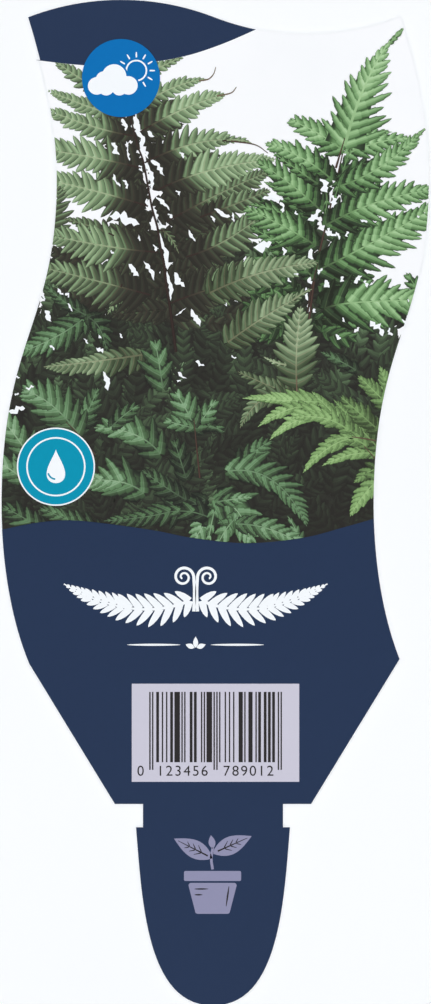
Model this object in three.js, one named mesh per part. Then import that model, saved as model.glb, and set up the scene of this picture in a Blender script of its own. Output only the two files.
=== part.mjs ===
// Stick-in plant label: one flat sheet of white plastic, die-cut in one stroke. A panel with wavy
// sides and a wavy top narrows over two straight tapers to its shoulders, and a notched neck joins
// them to a round-ended stake. It lies on its back: X runs across the panel, +Y towards its top
// edge and +Z out of its printed face. The origin is under the middle of its bounding box.
import * as THREE from 'three';

// Sizes are in millimetres. Until the outline is centred, heights run up from the stake's tip and
// distances across from the stake's centre line.
const THICKNESS = 0.5;

// Stake, which goes into the soil. Its sides lean in a little and round off into one blunt tip.
const STAKE_HALF_WIDTH = 14.55;
const STAKE_LENGTH = 33.7;
const STAKE_SIDE_LEAN = 0.08;
const STAKE_SIDE_REACH = 14.2;
const STAKE_TIP_REACH = 12.5;

// Neck, narrower than the stake and the shoulders: the rim of a pot's label slot sits in its notches.
const NECK_HALF_WIDTH = 13.23;
const NECK_LENGTH = 4.4;
const SHOULDER_HALF_WIDTH = 18.54;
const SHOULDER_HEIGHT = STAKE_LENGTH + NECK_LENGTH;

// Panel. Its right side is its left side moved across by the width, so the two waves run in step.
const PANEL_WIDTH = 70.35;
const TOP_WAVE_RADIUS = 48.6;

// The left side: from its top corner it swings in to a hollow, out to a bulge and in to its foot.
const SIDE_TOP = new THREE.Vector2(-34.93, 186.8);
const SIDE_HOLLOW = new THREE.Vector2(-29.54, 156.1);
const SIDE_BULGE = new THREE.Vector2(-39.98, 94.5);
const SIDE_FOOT = new THREE.Vector2(-34.72, 64.6);

// How far each curve of the side reaches along the edge's own direction before it bends away.
const TOP_DIRECTION = new THREE.Vector2(0.305, -1);
const TOP_REACH = 7.6;
const HOLLOW_REACH_UP = 11.5;
const HOLLOW_REACH_DOWN = 27.6;
const BULGE_REACH_UP = 31.9;
const BULGE_REACH_DOWN = 7.9;
const FOOT_DIRECTION = new THREE.Vector2(-0.417, 1);
const FOOT_REACH = 10.0;

// Straight facets along each curve, about 1.6 mm long.
const ARC_FACETS = 24;
const UPPER_SIDE_FACETS = 20;
const MIDDLE_SIDE_FACETS = 40;
const LOWER_SIDE_FACETS = 20;
const STAKE_FACETS = 28;

function offset(point, direction, reach) {
  return point.clone().addScaledVector(direction, reach);
}

// One smooth curve that leaves and arrives along the two handles, as a list of points.
function sweep(from, fromHandle, toHandle, to, facets) {
  return new THREE.CubicBezierCurve(from, fromHandle, toHandle, to).getPoints(facets);
}

// The left side of the panel, from the top corner down to the foot.
function leftSide() {
  const up = new THREE.Vector2(0, 1);
  const upper = sweep(
    SIDE_TOP,
    offset(SIDE_TOP, TOP_DIRECTION, TOP_REACH),
    offset(SIDE_HOLLOW, up, HOLLOW_REACH_UP),
    SIDE_HOLLOW,
    UPPER_SIDE_FACETS,
  );
  const middle = sweep(
    SIDE_HOLLOW,
    offset(SIDE_HOLLOW, up, -HOLLOW_REACH_DOWN),
    offset(SIDE_BULGE, up, BULGE_REACH_UP),
    SIDE_BULGE,
    MIDDLE_SIDE_FACETS,
  );
  const lower = sweep(
    SIDE_BULGE,
    offset(SIDE_BULGE, up, -BULGE_REACH_DOWN),
    offset(SIDE_FOOT, FOOT_DIRECTION, FOOT_REACH),
    SIDE_FOOT,
    LOWER_SIDE_FACETS,
  );
  return [...upper, ...middle.slice(1), ...lower.slice(1)];
}

// The right side, from the top corner down. The right taper mirrors the left one, and it cuts the
// side off before the foot, because the sides themselves are not mirrored.
function rightSide() {
  const side = leftSide().map((point) => new THREE.Vector2(point.x + PANEL_WIDTH, point.y));
  const lean = (-SIDE_FOOT.x - SHOULDER_HALF_WIDTH) / (SIDE_FOOT.y - SHOULDER_HEIGHT);
  const beyondTaper = (point) => point.x - SHOULDER_HALF_WIDTH - lean * (point.y - SHOULDER_HEIGHT);
  const cut = side.findIndex((point) => point.y < SIDE_BULGE.y && beyondTaper(point) > 0);
  const above = side[cut - 1];
  const below = side[cut];
  const share = beyondTaper(above) / (beyondTaper(above) - beyondTaper(below));
  return [...side.slice(0, cut), above.clone().lerp(below, share)];
}

// The top edge, from the left corner to the right one: an arch and a dip of the same radius.
function topEdge() {
  const quarter = PANEL_WIDTH / 4;
  const rise = Math.sqrt(TOP_WAVE_RADIUS ** 2 - quarter ** 2);
  const halfAngle = Math.asin(quarter / TOP_WAVE_RADIUS);
  const up = Math.PI / 2;
  const arc = (x, y, from, to) => {
    const curve = new THREE.EllipseCurve(x, y, TOP_WAVE_RADIUS, TOP_WAVE_RADIUS, from, to, to < from);
    return curve.getPoints(ARC_FACETS);
  };
  const arch = arc(SIDE_TOP.x + quarter, SIDE_TOP.y - rise, up + halfAngle, up - halfAngle);
  const dip = arc(SIDE_TOP.x + 3 * quarter, SIDE_TOP.y + rise, -up - halfAngle, -up + halfAngle);
  return [...arch, ...dip.slice(1)];
}

// The right half of the neck and stake, from the shoulder's corner down to the tip.
function rightFoot() {
  const lip = new THREE.Vector2(STAKE_HALF_WIDTH, STAKE_LENGTH);
  const tip = new THREE.Vector2(0, 0);
  const tongue = sweep(
    lip,
    offset(lip, new THREE.Vector2(-STAKE_SIDE_LEAN, -1), STAKE_SIDE_REACH),
    new THREE.Vector2(STAKE_TIP_REACH, 0),
    tip,
    STAKE_FACETS,
  );
  return [
    new THREE.Vector2(SHOULDER_HALF_WIDTH, SHOULDER_HEIGHT),
    new THREE.Vector2(NECK_HALF_WIDTH, SHOULDER_HEIGHT),
    new THREE.Vector2(NECK_HALF_WIDTH, STAKE_LENGTH),
    ...tongue,
  ];
}

// The whole cut line, clockwise from the panel's top left corner, centred on its bounding box.
function outline() {
  const right = rightFoot();
  const left = right
    .slice(0, -1)
    .reverse()
    .map((point) => new THREE.Vector2(-point.x, point.y));
  const loop = [
    ...topEdge(),
    ...rightSide().slice(1),
    ...right,
    ...left,
    ...leftSide().reverse().slice(0, -1),
  ];
  const middle = new THREE.Box2().setFromPoints(loop).getCenter(new THREE.Vector2());
  return loop.map((point) => point.clone().sub(middle));
}

function label() {
  const geometry = new THREE.ExtrudeGeometry(new THREE.Shape(outline()), {
    depth: THICKNESS,
    bevelEnabled: false,
  });
  const whitePlastic = new THREE.MeshStandardMaterial({ color: 0xf7f8fa, roughness: 0.45, metalness: 0 });
  const mesh = new THREE.Mesh(geometry, whitePlastic);
  mesh.name = 'label';
  return mesh;
}

const part = new THREE.Group();
part.add(label());

export default part;
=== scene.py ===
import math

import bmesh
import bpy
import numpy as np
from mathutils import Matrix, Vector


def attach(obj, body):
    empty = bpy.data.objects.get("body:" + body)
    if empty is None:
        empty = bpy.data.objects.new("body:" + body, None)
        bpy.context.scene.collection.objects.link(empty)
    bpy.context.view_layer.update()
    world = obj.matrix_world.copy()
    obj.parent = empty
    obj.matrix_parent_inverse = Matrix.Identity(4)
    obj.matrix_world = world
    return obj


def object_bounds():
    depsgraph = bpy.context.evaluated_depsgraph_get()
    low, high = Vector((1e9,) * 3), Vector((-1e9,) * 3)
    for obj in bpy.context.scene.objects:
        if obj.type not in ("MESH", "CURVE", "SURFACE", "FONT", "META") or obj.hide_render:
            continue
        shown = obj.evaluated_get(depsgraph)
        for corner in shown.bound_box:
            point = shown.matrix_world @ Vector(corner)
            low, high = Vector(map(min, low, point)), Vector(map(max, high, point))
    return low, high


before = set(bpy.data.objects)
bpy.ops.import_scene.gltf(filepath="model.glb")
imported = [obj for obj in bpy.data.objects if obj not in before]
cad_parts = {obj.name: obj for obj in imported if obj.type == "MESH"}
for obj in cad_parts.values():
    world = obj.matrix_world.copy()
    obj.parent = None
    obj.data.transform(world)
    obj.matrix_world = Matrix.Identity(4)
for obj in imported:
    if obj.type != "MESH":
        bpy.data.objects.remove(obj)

# Looks of a stick-in plant label that lies on its back. The white plastic sheet is the packed
# solid itself. Everything else is its print, built as thin closed films of ink that stand on the
# printed face. Each film's top lies at its own height in a stack of hair-thin layers.
#
# Tables give print positions in millimetres, right of and down from the top left corner of the
# label's bounding box. Meshes are in metres.

MM = 0.001
CAD_LOW, CAD_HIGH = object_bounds()
FACE = CAD_HIGH.z
LAYER = 0.003 * MM

# Places in the stack of layers, from the sheet's face up. The fern picture takes the ones between.
GROUND_LAYER = 1
FIELD_LAYER = 2
PANEL_LAYER = 5
PRINT_LAYER = 8
DISC_LAYER = 46
GAP_LAYER = 48
MARK_LAYER = 50
DETAIL_LAYER = 52

# Every throw of chance starts from this seed.
SEED = 11

# How strongly printed ink mirrors, and how rough it is.
INK_GLOSS = 0.12
INK_ROUGHNESS = 0.42


# ---------------------------------------------------------------- places on the sheet

def at(x, y):
    """A print position, in millimetres, as a point of the model in metres."""
    return (CAD_LOW.x + x * MM, CAD_HIGH.y - y * MM)


def cut_line():
    """The sheet's die-cut outline, anticlockwise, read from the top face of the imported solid."""
    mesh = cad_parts["label"].data
    edges = set()
    for face in mesh.polygons:
        keys = [tuple(round(c / MM, 4) for c in mesh.vertices[v].co) for v in face.vertices]
        if all(abs(key[2] * MM - FACE) <= MM / 1000 for key in keys):
            edges.update(zip(keys, keys[1:] + keys[:1]))
    follows = {here: there for here, there in edges if (there, here) not in edges}
    start = here = min(follows)
    loop = []
    while not loop or here != start:
        loop.append((here[0] * MM, here[1] * MM))
        here = follows[here]
    return np.array(loop)


OUTLINE = cut_line()


def smooth_path(stations, count):
    """A smooth open curve through a few stations, as count + 1 points (Catmull-Rom)."""
    p = np.array(stations, float)
    p = np.vstack([2 * p[0] - p[1], p, 2 * p[-1] - p[-2]])
    spans = len(stations) - 1
    where = np.linspace(0, spans, count + 1)
    span = np.minimum(where.astype(int), spans - 1)
    t = (where - span)[:, None]
    a, b, c, d = (p[span + i] for i in range(4))
    square, cube = 2 * a - 5 * b + 4 * c - d, 3 * b - a - 3 * c + d
    return 0.5 * (2 * b + (c - a) * t + square * t**2 + cube * t**3)


def way(angle):
    """The unit vector at an angle in degrees, anticlockwise from the right."""
    turn = math.radians(angle)
    return np.array((math.cos(turn), math.sin(turn)))


def left_of(forward):
    return np.array((-forward[1], forward[0]))


def straight(foot, forward, distances):
    """Points in a line forward from a model point, at distances in millimetres."""
    return foot + np.outer(distances * MM, forward)


def arc(x, y, radius, angles):
    """Points round a print position, at angles in degrees, anticlockwise from the right."""
    cx, cy = at(x, y)
    turn = np.radians(angles)
    return np.stack([cx + radius * MM * np.cos(turn), cy + radius * MM * np.sin(turn)], 1)


# The wavy upper edge of the blue field, and the lower edge of the band along the top.
WAVE = smooth_path([at(*p) for p in (
    (-1.0, 101.0), (0.1, 100.2), (7.6, 98.7), (15.2, 98.5), (28.3, 100.2), (36.1, 101.7),
    (46.4, 102.7), (56.9, 101.7), (64.7, 99.7), (70.3, 98.1), (72.0, 97.6),
)], 80)
BAND_EDGE = smooth_path([at(*p) for p in (
    (6.5, 11.3), (7.4, 11.5), (15.3, 12.35), (22.0, 12.45), (29.9, 11.55), (33.0, 11.0),
    (36.0, 10.3), (39.0, 9.35), (42.0, 8.25), (45.1, 6.95), (48.1, 5.6),
)], 60)

# The band's lower edge is used from this point on. It lies 0.8 mm beyond the sheet's side, so the
# band's film has a hair-thin overhang at that corner.
BAND_START = 3


# ---------------------------------------------------------------- inks and plastic

def linear(colour):
    """A hex colour as linear red, green, blue and alpha."""
    channels = [int(colour[i:i + 2], 16) / 255 for i in (0, 2, 4)]
    light = [c / 12.92 if c <= 0.04045 else ((c + 0.055) / 1.055) ** 2.4 for c in channels]
    return (*light, 1.0)


class Nodes:
    """Adds shader or geometry nodes to a tree, each with its settings and inputs in one call."""

    def __init__(self, tree):
        self.tree = tree

    def feed(self, socket, value):
        if isinstance(value, bpy.types.NodeSocket):
            self.tree.links.new(value, socket)
        else:
            socket.default_value = value

    def __call__(self, kind, inputs=None, **settings):
        node = self.tree.nodes.new(kind)
        for key, value in settings.items():
            setattr(node, key, value)
        for key, value in (inputs or {}).items():
            self.feed(node.inputs[key], value)
        return node

    def ramp(self, value, stops):
        """A colour ramp over value. Each stop is a place and a hex colour or a grey level."""
        node = self("ShaderNodeValToRGB", {"Fac": value})
        while len(node.color_ramp.elements) < len(stops):
            node.color_ramp.elements.new(1.0)
        for element, (place, colour) in zip(node.color_ramp.elements, stops):
            element.position = place
            element.color = linear(colour) if isinstance(colour, str) else (*(colour,) * 3, 1.0)
        return node.outputs["Color"]

    def noise(self, scale, detail=2.0, roughness=0.5):
        """Clouds in the piece's own space, about scale of them to a metre, as a value from 0 to 1."""
        place = self("ShaderNodeTexCoord").outputs["Object"]
        inputs = {"Vector": place, "Scale": scale, "Detail": detail, "Roughness": roughness}
        return self("ShaderNodeTexNoise", inputs).outputs["Fac"]

    def mix(self, share, first, second):
        node = self("ShaderNodeMix", data_type="RGBA")
        for key, value in ((0, share), (6, first), (7, second)):
            self.feed(node.inputs[key], value)
        return node.outputs[2]

    def math(self, operation, *values):
        node = self("ShaderNodeMath", operation=operation)
        for key, value in enumerate(values):
            self.feed(node.inputs[key], value)
        return node.outputs[0]


def new_material(name):
    material = bpy.data.materials.new(name)
    material.use_nodes = True
    material.node_tree.nodes.clear()
    return material, Nodes(material.node_tree)


# How strongly the grain of rolled sheet bends the light.
GRAIN_STRENGTH = 0.12


def finish_surface(nodes, colour, roughness, specular, grain=None, depth=0.0):
    """The shader of one surface. Where grain gives its scale, it has the faint grain of sheet."""
    inputs = {"Base Color": colour, "Roughness": roughness, "Specular IOR Level": specular}
    if grain:
        height = nodes.noise(grain, detail=3.0)
        relief = {"Height": height, "Strength": GRAIN_STRENGTH, "Distance": depth}
        inputs["Normal"] = nodes("ShaderNodeBump", relief).outputs["Normal"]
    shader = nodes("ShaderNodeBsdfPrincipled", inputs)
    nodes("ShaderNodeOutputMaterial", {"Surface": shader.outputs["BSDF"]})


def shifted(colour, change):
    """A hex colour as a linear one, lighter or darker by a share."""
    return (*(min(1.0, c * (1 + change)) for c in linear(colour)[:3]), 1.0)


def flat_ink(name, colour, drift=0.05):
    """One ink printed solid: its colour drifts a little in clouds and specks, as press ink does."""
    material, nodes = new_material(name)
    both = nodes.math("ADD", nodes.noise(60.0), nodes.noise(900.0, detail=1.0))
    share = nodes.math("MULTIPLY", both, 0.5)
    shade = nodes.mix(share, shifted(colour, -drift), shifted(colour, drift))
    finish_surface(nodes, shade, INK_ROUGHNESS, INK_GLOSS, grain=2500.0, depth=0.004 * MM)
    return material


def clouded(name, clouds, stops, roughness, specular, grain=None, depth=0.0):
    """A surface whose colour drifts between near shades. clouds gives the noise's settings."""
    material, nodes = new_material(name)
    colour = nodes.ramp(nodes.noise(**clouds), stops)
    finish_surface(nodes, colour, roughness, specular, grain, depth)
    return material


def white_plastic():
    """The bare sheet: bright, faintly blue white with a soft sheen."""
    clouds = {"scale": 45.0, "detail": 4.0}
    shades = ((0.3, "f6f8fb"), (0.7, "fafbfe"))
    return clouded("white_plastic", clouds, shades, 0.48, 0.3, grain=1800.0, depth=0.006 * MM)


def ground_ink():
    """The picture's deep shade between the leaves: brown black, broken by dim green."""
    clouds = {"scale": 260.0, "detail": 5.0, "roughness": 0.6}
    shades = ((0.3, "262423"), (0.5, "2d2c29"), (0.7, "383d34"))
    return clouded("ground_ink", clouds, shades, INK_ROUGHNESS, INK_GLOSS)


# A leaflet's lightness from its dim margin over its middle to its lit margin, and the lightness at
# which the tone stays as it is.
LEAF_RELIEF = (
    (0.02, 0.0), (0.15, 0.36), (0.42, 0.58), (0.55, 0.74), (0.7, 1.0), (0.82, 0.8), (0.93, 0.2),
)
EVEN_LIGHT = 0.62

# A leaf's relief is fainter in deep shade. It grows from this share at tone 0 to all of it at the
# second tone.
SHADED_RELIEF = 0.45
FULL_RELIEF_TONE = 0.3


def leaf_ink(name, leaf, rib, fold, vein):
    """The picture's colours for one kind of leaf. Along U the tone goes from deep shade to full
    light. Across V a leaflet goes from one dark margin over its dim half, the vein in the middle
    and its lit half to the other dark margin. fold is how strong that relief is, and vein how
    much of the rib's colour the vein shows."""
    material, nodes = new_material(name)
    chart = nodes("ShaderNodeUVMap", uv_map="OFBake").outputs["UV"]
    split = nodes("ShaderNodeSeparateXYZ", {"Vector": chart})
    tone, across = split.outputs["X"], split.outputs["Y"]
    relief = nodes.ramp(across, LEAF_RELIEF)
    depth = nodes.ramp(tone, ((0.0, SHADED_RELIEF * fold), (FULL_RELIEF_TONE, fold)))
    lift = nodes.math("MULTIPLY", nodes.math("SUBTRACT", relief, EVEN_LIGHT), depth)
    blade = nodes.ramp(nodes.math("ADD", tone, lift), leaf)
    pale = nodes.ramp(tone, rib)
    share = nodes.ramp(across, ((0.43, 0.0), (0.475, vein), (0.525, vein), (0.57, 0.0)))
    finish_surface(nodes, nodes.mix(share, blade, pale), INK_ROUGHNESS, INK_GLOSS)
    return material


# ---------------------------------------------------------------- films of ink

def closed_mesh(name, points, faces):
    mesh = bpy.data.meshes.new(name)
    mesh.from_pydata(points, [], faces)
    mesh.validate()
    return mesh


def store(mesh, facts):
    """Keeps facts about each point with the mesh, as attributes."""
    for key, values in facts.items():
        mesh.attributes.new(key, "FLOAT", "POINT").data.foreach_set("value", values)


def shown(name, data):
    """Makes an object of the data and puts it in the scene."""
    thing = bpy.data.objects.new(name, data)
    bpy.context.scene.collection.objects.link(thing)
    return thing


def evaluated_mesh(thing):
    depsgraph = bpy.context.evaluated_depsgraph_get()
    return bpy.data.meshes.new_from_object(thing.evaluated_get(depsgraph))


def remove(things):
    """Takes helper objects away again."""
    for thing in things:
        bpy.data.objects.remove(thing)


def put(name, mesh, material):
    """Makes the mesh a piece of the label that rides on it."""
    mesh.materials.clear()
    mesh.materials.append(material)
    piece = shown(name, mesh)
    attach(piece, "root")


def film(name, patches, layer, material):
    """Closed films from the sheet's face up to a layer. A patch is flat points and their faces."""
    points = []
    walls = []
    for flat, faces in patches:
        start, count = len(points), len(flat)
        points += [(x, y, FACE + layer * LAYER) for x, y in flat]
        points += [(x, y, FACE) for x, y in flat]
        edges = set()
        for face in faces:
            face = [start + i for i in face]
            walls.append(tuple(face))
            walls.append(tuple(i + count for i in reversed(face)))
            edges.update(zip(face, face[1:] + face[:1]))
        for a, b in sorted(edges):
            if (b, a) not in edges:
                walls.append((b, a, a + count, b + count))
    put(name, closed_mesh(name, points, walls), material)


def filled(loop):
    """A patch inside one closed outline."""
    loop = np.array(loop)
    x, y = loop.T
    turns_left = x @ np.roll(y, -1) > y @ np.roll(x, -1)
    return (loop if turns_left else loop[::-1]), [tuple(range(len(loop)))]


def circle(x, y, radius, count=96):
    return arc(x, y, radius, np.linspace(0, 360, count, endpoint=False))


def ring(x, y, outer, inner, count=96):
    """A patch between two circles about a print position."""
    follower = np.roll(np.arange(count), -1).tolist()
    faces = [(i, j, count + j, count + i) for i, j in enumerate(follower)]
    return np.vstack([circle(x, y, outer, count), circle(x, y, inner, count)]), faces


def box(left, top, right, bottom):
    return filled([at(left, bottom), at(right, bottom), at(right, top), at(left, top)])


def sideways(path):
    """Unit vectors to the left of a path at each of its points."""
    along = np.gradient(path, axis=0)
    along /= np.linalg.norm(along, axis=1)[:, None]
    return np.stack([-along[:, 1], along[:, 0]], 1)


def stroke(path, widths):
    """A patch along a path of model points, as wide at each as widths says, in millimetres."""
    path = np.array(path, float)
    side = sideways(path) * (np.broadcast_to(widths, len(path)) / 2 * MM)[:, None]
    count = len(path)
    faces = [(i, i + 1, count + i + 1, count + i) for i in range(count - 1)]
    return np.vstack([path - side, path + side]), faces


def sliver(axis, forward, upper, lower):
    """A patch about a straight axis, with its margins upper and lower millimetres from it."""
    above = axis + np.outer(upper * MM, left_of(forward))
    below = axis - np.outer(lower * MM, left_of(forward))
    return filled(np.vstack([below, above[-2:0:-1]]))


def lens(x, y, angle, length, width):
    """A pointed leaf shape from its foot at a print position, angle in degrees from the right."""
    share = np.linspace(0, 1, 13)
    half = width / 2 * np.sin(math.pi * share**0.85)
    forward = way(angle)
    return sliver(straight(at(x, y), forward, share * length), forward, half, half)


# ---------------------------------------------------------------- the blue field and the band

def side_points(first, last):
    """Outline points from the one nearest to first, anticlockwise, to the one nearest to last."""
    start = np.argmin(np.linalg.norm(OUTLINE - first, axis=1))
    end = np.argmin(np.linalg.norm(OUTLINE - last, axis=1))
    turned = np.roll(OUTLINE, -start, axis=0)
    return turned[: (end - start) % len(OUTLINE) + 1]


def side_at(height, left):
    """The x of the sheet's left or right side at a height of the model."""
    crossings = []
    for a, b in zip(OUTLINE, np.roll(OUTLINE, -1, axis=0)):
        if (a[1] - height) * (b[1] - height) <= 0 and a[1] != b[1]:
            crossings.append(a[0] + (b[0] - a[0]) * (height - a[1]) / (b[1] - a[1]))
    return min(crossings) if left else max(crossings)


def blue_field(ink):
    """Everything below the wave, out to the cut line all round."""
    wave = np.array([p for p in WAVE if side_at(p[1], True) < p[0] < side_at(p[1], False)])
    ends = [(side_at(wave[i][1], left), wave[i][1]) for i, left in ((0, True), (-1, False))]
    below = [p for p in side_points(*ends) if p[1] < ends[0 if p[0] < 0 else 1][1]]
    loop = np.vstack([[ends[0]], below, [ends[1]], wave[::-1]])
    film("blue_field", [filled(loop)], FIELD_LAYER, ink)


def top_band(ink):
    """The curved band along the top edge, which runs out in a point on that edge. corner is the
    sheet's upper left one. The band's lower edge is used from BAND_START on."""
    corner = at(4.9, 3.3)
    tip = BAND_EDGE[-1]
    lower = BAND_EDGE[BAND_START:]
    start = np.array((side_at(lower[0][1], True), lower[0][1]))
    rim = [p for p in side_points(tip, corner) if p[0] < tip[0]]
    side = [p for p in side_points(corner, start) if p[1] > start[1]]
    loop = np.vstack([rim, side[1:], [start], lower])
    film("top_band", [filled(loop)], FIELD_LAYER, ink)


# ---------------------------------------------------------------- leaflets

def leaflet(name, rows, half_width, sweep, side):
    """One leaflet of unit length and width along +X, a closed film. Its mesh keeps, for each
    point, its place along and across, whether it is on top, and how its top leans so that
    neighbours overlap like shingles. side is 1 for the left of a midrib and -1 for the right.
    Each row has three corners on top, and after all of those come its two at the foot."""
    corners = [(a, across, 1.0) for a in rows for across in (-1.0, 0.0, 1.0)]
    below = len(corners)
    corners += [(a, across, 0.0) for a in rows for across in (-1.0, 1.0)]
    points = [(a, across * half_width(a) - side * sweep * a * a, lift * MM) for a, across, lift in corners]
    faces = []
    for r in range(len(rows) - 1):
        top, low = 3 * r, below + 2 * r
        faces += [(top, top + 3, top + 4, top + 1), (top + 1, top + 4, top + 5, top + 2)]
        faces += [(low, low + 1, low + 3, low + 2)]
        faces += [(top, low, low + 2, top + 3), (top + 2, top + 5, low + 3, low + 1)]
    faces.append((0, 1, 2, below + 1, below))
    top, low = 3 * (len(rows) - 1), below + 2 * (len(rows) - 1)
    faces.append((top, low, low + 1, top + 2, top + 1))
    mesh = closed_mesh(name, points, faces)
    along, across, lift = zip(*corners)
    shingle = [side * value for value in across]
    store(mesh, {"along": along, "across": across, "lift": lift, "shingle": shingle})
    return bpy.data.objects.new(name, mesh)


# A leaflet narrows evenly by this share, and its tip rounds off. A little width is left at the very
# tip, so that the film stays closed.
NARROWING = 0.12
TIP_ROUNDING = 0.75
TIP_WIDTH = 0.015

# Leaflets and ribbons have three corners across the top of each row and two at its foot.
ROW_CORNERS = 5

# The rows of corners along the three kinds of leaflet. The toothed ones step at each tooth's end.
TEETH = 4
TOOTH_DEPTH = 0.24
FEW_ROWS = (0.0, 0.5, 0.84, 1.0)
PLAIN_ROWS = (0.0, 0.4, 0.72, 0.9, 1.0)
TOOTHED_ROWS = (0.0, 0.24, 0.27, 0.49, 0.52, 0.74, 0.77, 0.92, 1.0)


def even_margin(a, half_width, power):
    """Half width at a share of a leaflet's length. A high power keeps it wide for longer."""
    return half_width * (1 - NARROWING * a) * (1 - a**power) ** TIP_ROUNDING


def plain_margin(a):
    """Half width of an oblong leaflet that narrows to a soft point, at a share of its length."""
    return even_margin(a, 0.54, 3.4) + TIP_WIDTH


def toothed_margin(a):
    """Half width of a leaflet whose margin is cut into small forward teeth."""
    tooth = (a * TEETH) % 1.0
    return even_margin(a, 0.58, 3.6) * (1 - TOOTH_DEPTH + TOOTH_DEPTH * tooth) + TIP_WIDTH


def leaflet_pair(kind, rows, margin, sweep):
    """The leaflets for the left and the right of a midrib. sweep is how far their tips curl."""
    sides = (("left", 1), ("right", -1))
    return [leaflet(f"{kind}_{name}", rows, margin, sweep, side) for name, side in sides]


# Towards a leaf's tip its leaflets lean forward more, by this share of their lean. No leaflet is
# wider than a share of its length. By chance one turns aside by up to so many radians for an
# unevenness of 1.
CLOSING = 0.3
STOUTEST = 0.75
TURNING = 0.6


# What the leaflet tree is given, and of what kind each input is.
GIVEN = {
    "Midribs": "Geometry",
    "Left leaflet": "Object",
    "Right leaflet": "Object",
    "Lean": "Float",
    "Fullness": "Float",
    "Unevenness": "Float",
    "Tone spread": "Float",
    "Seed": "Int",
    "Ink": "Material",
}


def fact(nodes, name):
    """A fact that the midribs keep, as it is at each spot along them."""
    return nodes("GeometryNodeInputNamedAttribute", {"Name": name}, data_type="FLOAT").outputs[0]


def chance(nodes, seed, spread, salt):
    """A value between minus and plus spread for each spot, by chance. Each salt throws anew."""
    inputs = {"Seed": nodes.math("ADD", seed, salt)}
    share = nodes("FunctionNodeRandomValue", inputs, data_type="FLOAT").outputs[1]
    offset = nodes.math("SUBTRACT", share, 0.5)
    return nodes.math("MULTIPLY", offset, nodes.math("MULTIPLY", spread, 2.0))


def leaflets_beside(nodes, given, spots, heading, name, turn, salt):
    """Sets a leaflet at each spot to one side of the midrib: leaning forward, as long as the
    midrib says at that place, and a little uneven. turn is 1 for the left and -1 for the right."""
    uneven, seed = given["Unevenness"], given["Seed"]
    drift = chance(nodes, seed, given["Tone spread"], 10 * salt)
    toned = nodes("GeometryNodeStoreNamedAttribute", {
        "Geometry": spots.outputs["Points"],
        "Name": "tone",
        "Value": nodes.math("ADD", fact(nodes, "tone"), drift),
    }, data_type="FLOAT", domain="POINT")
    closing = nodes.math("SUBTRACT", 1.0, nodes.math("MULTIPLY", fact(nodes, "share"), CLOSING))
    lean = nodes.math("MULTIPLY", nodes.math("MULTIPLY", given["Lean"], closing), turn)
    jitter = nodes.math("MULTIPLY", chance(nodes, seed, uneven, 20 * salt), TURNING)
    angle = nodes.math("ADD", heading, nodes.math("ADD", lean, jitter))
    spin = nodes("FunctionNodeAxisAngleToRotation", {"Axis": (0.0, 0.0, 1.0), "Angle": angle})
    growth = nodes.math("ADD", 1.0, chance(nodes, seed, uneven, 30 * salt))
    length = nodes.math("MULTIPLY", fact(nodes, "reach_" + name), growth)
    width = nodes.math("MULTIPLY", fact(nodes, "spacing"), given["Fullness"])
    size = nodes("ShaderNodeCombineXYZ", {
        "X": length,
        "Y": nodes.math("MINIMUM", width, nodes.math("MULTIPLY", length, STOUTEST)),
        "Z": 1.0,
    })
    unit = nodes("GeometryNodeObjectInfo", {"Object": given[f"{name.title()} leaflet"]})
    placed = nodes("GeometryNodeInstanceOnPoints", {
        "Points": toned.outputs[0],
        "Selection": nodes.math("LESS_THAN", fact(nodes, "joint"), 0.99),
        "Instance": unit.outputs["Geometry"],
        "Rotation": spin.outputs[0],
        "Scale": size.outputs[0],
    })
    return placed.outputs[0]


def leaflet_tree():
    """The node tree that sets leaflets, evenly spaced, along both sides of each midrib."""
    tree = bpy.data.node_groups.new("leaflets_along_midribs", "GeometryNodeTree")
    for label, kind in GIVEN.items():
        tree.interface.new_socket(label, in_out="INPUT", socket_type="NodeSocket" + kind)
    tree.interface.new_socket("Leaves", in_out="OUTPUT", socket_type="NodeSocketGeometry")
    nodes = Nodes(tree)
    given = nodes("NodeGroupInput").outputs
    curves = nodes("GeometryNodeMeshToCurve", {"Mesh": given["Midribs"]})
    spacing = {"Curve": curves.outputs[0], "Length": fact(nodes, "spacing")}
    even = nodes("GeometryNodeResampleCurve", spacing, mode="LENGTH")
    spots = nodes("GeometryNodeCurveToPoints", {"Curve": even.outputs[0]}, mode="EVALUATED")
    along = nodes("ShaderNodeSeparateXYZ", {"Vector": spots.outputs["Tangent"]})
    heading = nodes.math("ARCTAN2", along.outputs["Y"], along.outputs["X"])
    both = nodes("GeometryNodeJoinGeometry")
    for name, turn, salt in (("left", 1.0, 1), ("right", -1.0, 2)):
        side = leaflets_beside(nodes, given, spots, heading, name, turn, salt)
        tree.links.new(side, both.inputs[0])
    real = nodes("GeometryNodeRealizeInstances", {"Geometry": both.outputs[0]})
    inked = nodes("GeometryNodeSetMaterial", {"Geometry": real.outputs[0], "Material": given["Ink"]})
    nodes("NodeGroupOutput", {"Leaves": inked.outputs[0]})
    return tree


LEAFLET_TREE = leaflet_tree()
SOCKETS = [s for s in LEAFLET_TREE.interface.items_tree if s.in_out == "INPUT"]
INPUTS = {socket.name: socket.identifier for socket in SOCKETS}


# ---------------------------------------------------------------- sprays of leaflets

def lance(share):
    """How far the leaflets reach along a midrib: a lance shape, widest in its lower half."""
    return np.minimum(1.0, 0.75 + 1.2 * share) * (1 - share**2.2) ** 0.8


def broad(share):
    """The reach along a leaf that stays wide until near its blunt tip."""
    return np.minimum(1.0, 0.8 + share) * (1 - share**2.6) ** 0.85


def wedge(share):
    """The reach along a frond's own tip: widest at its foot and evenly narrower."""
    return (1 - share) ** 0.85


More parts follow.
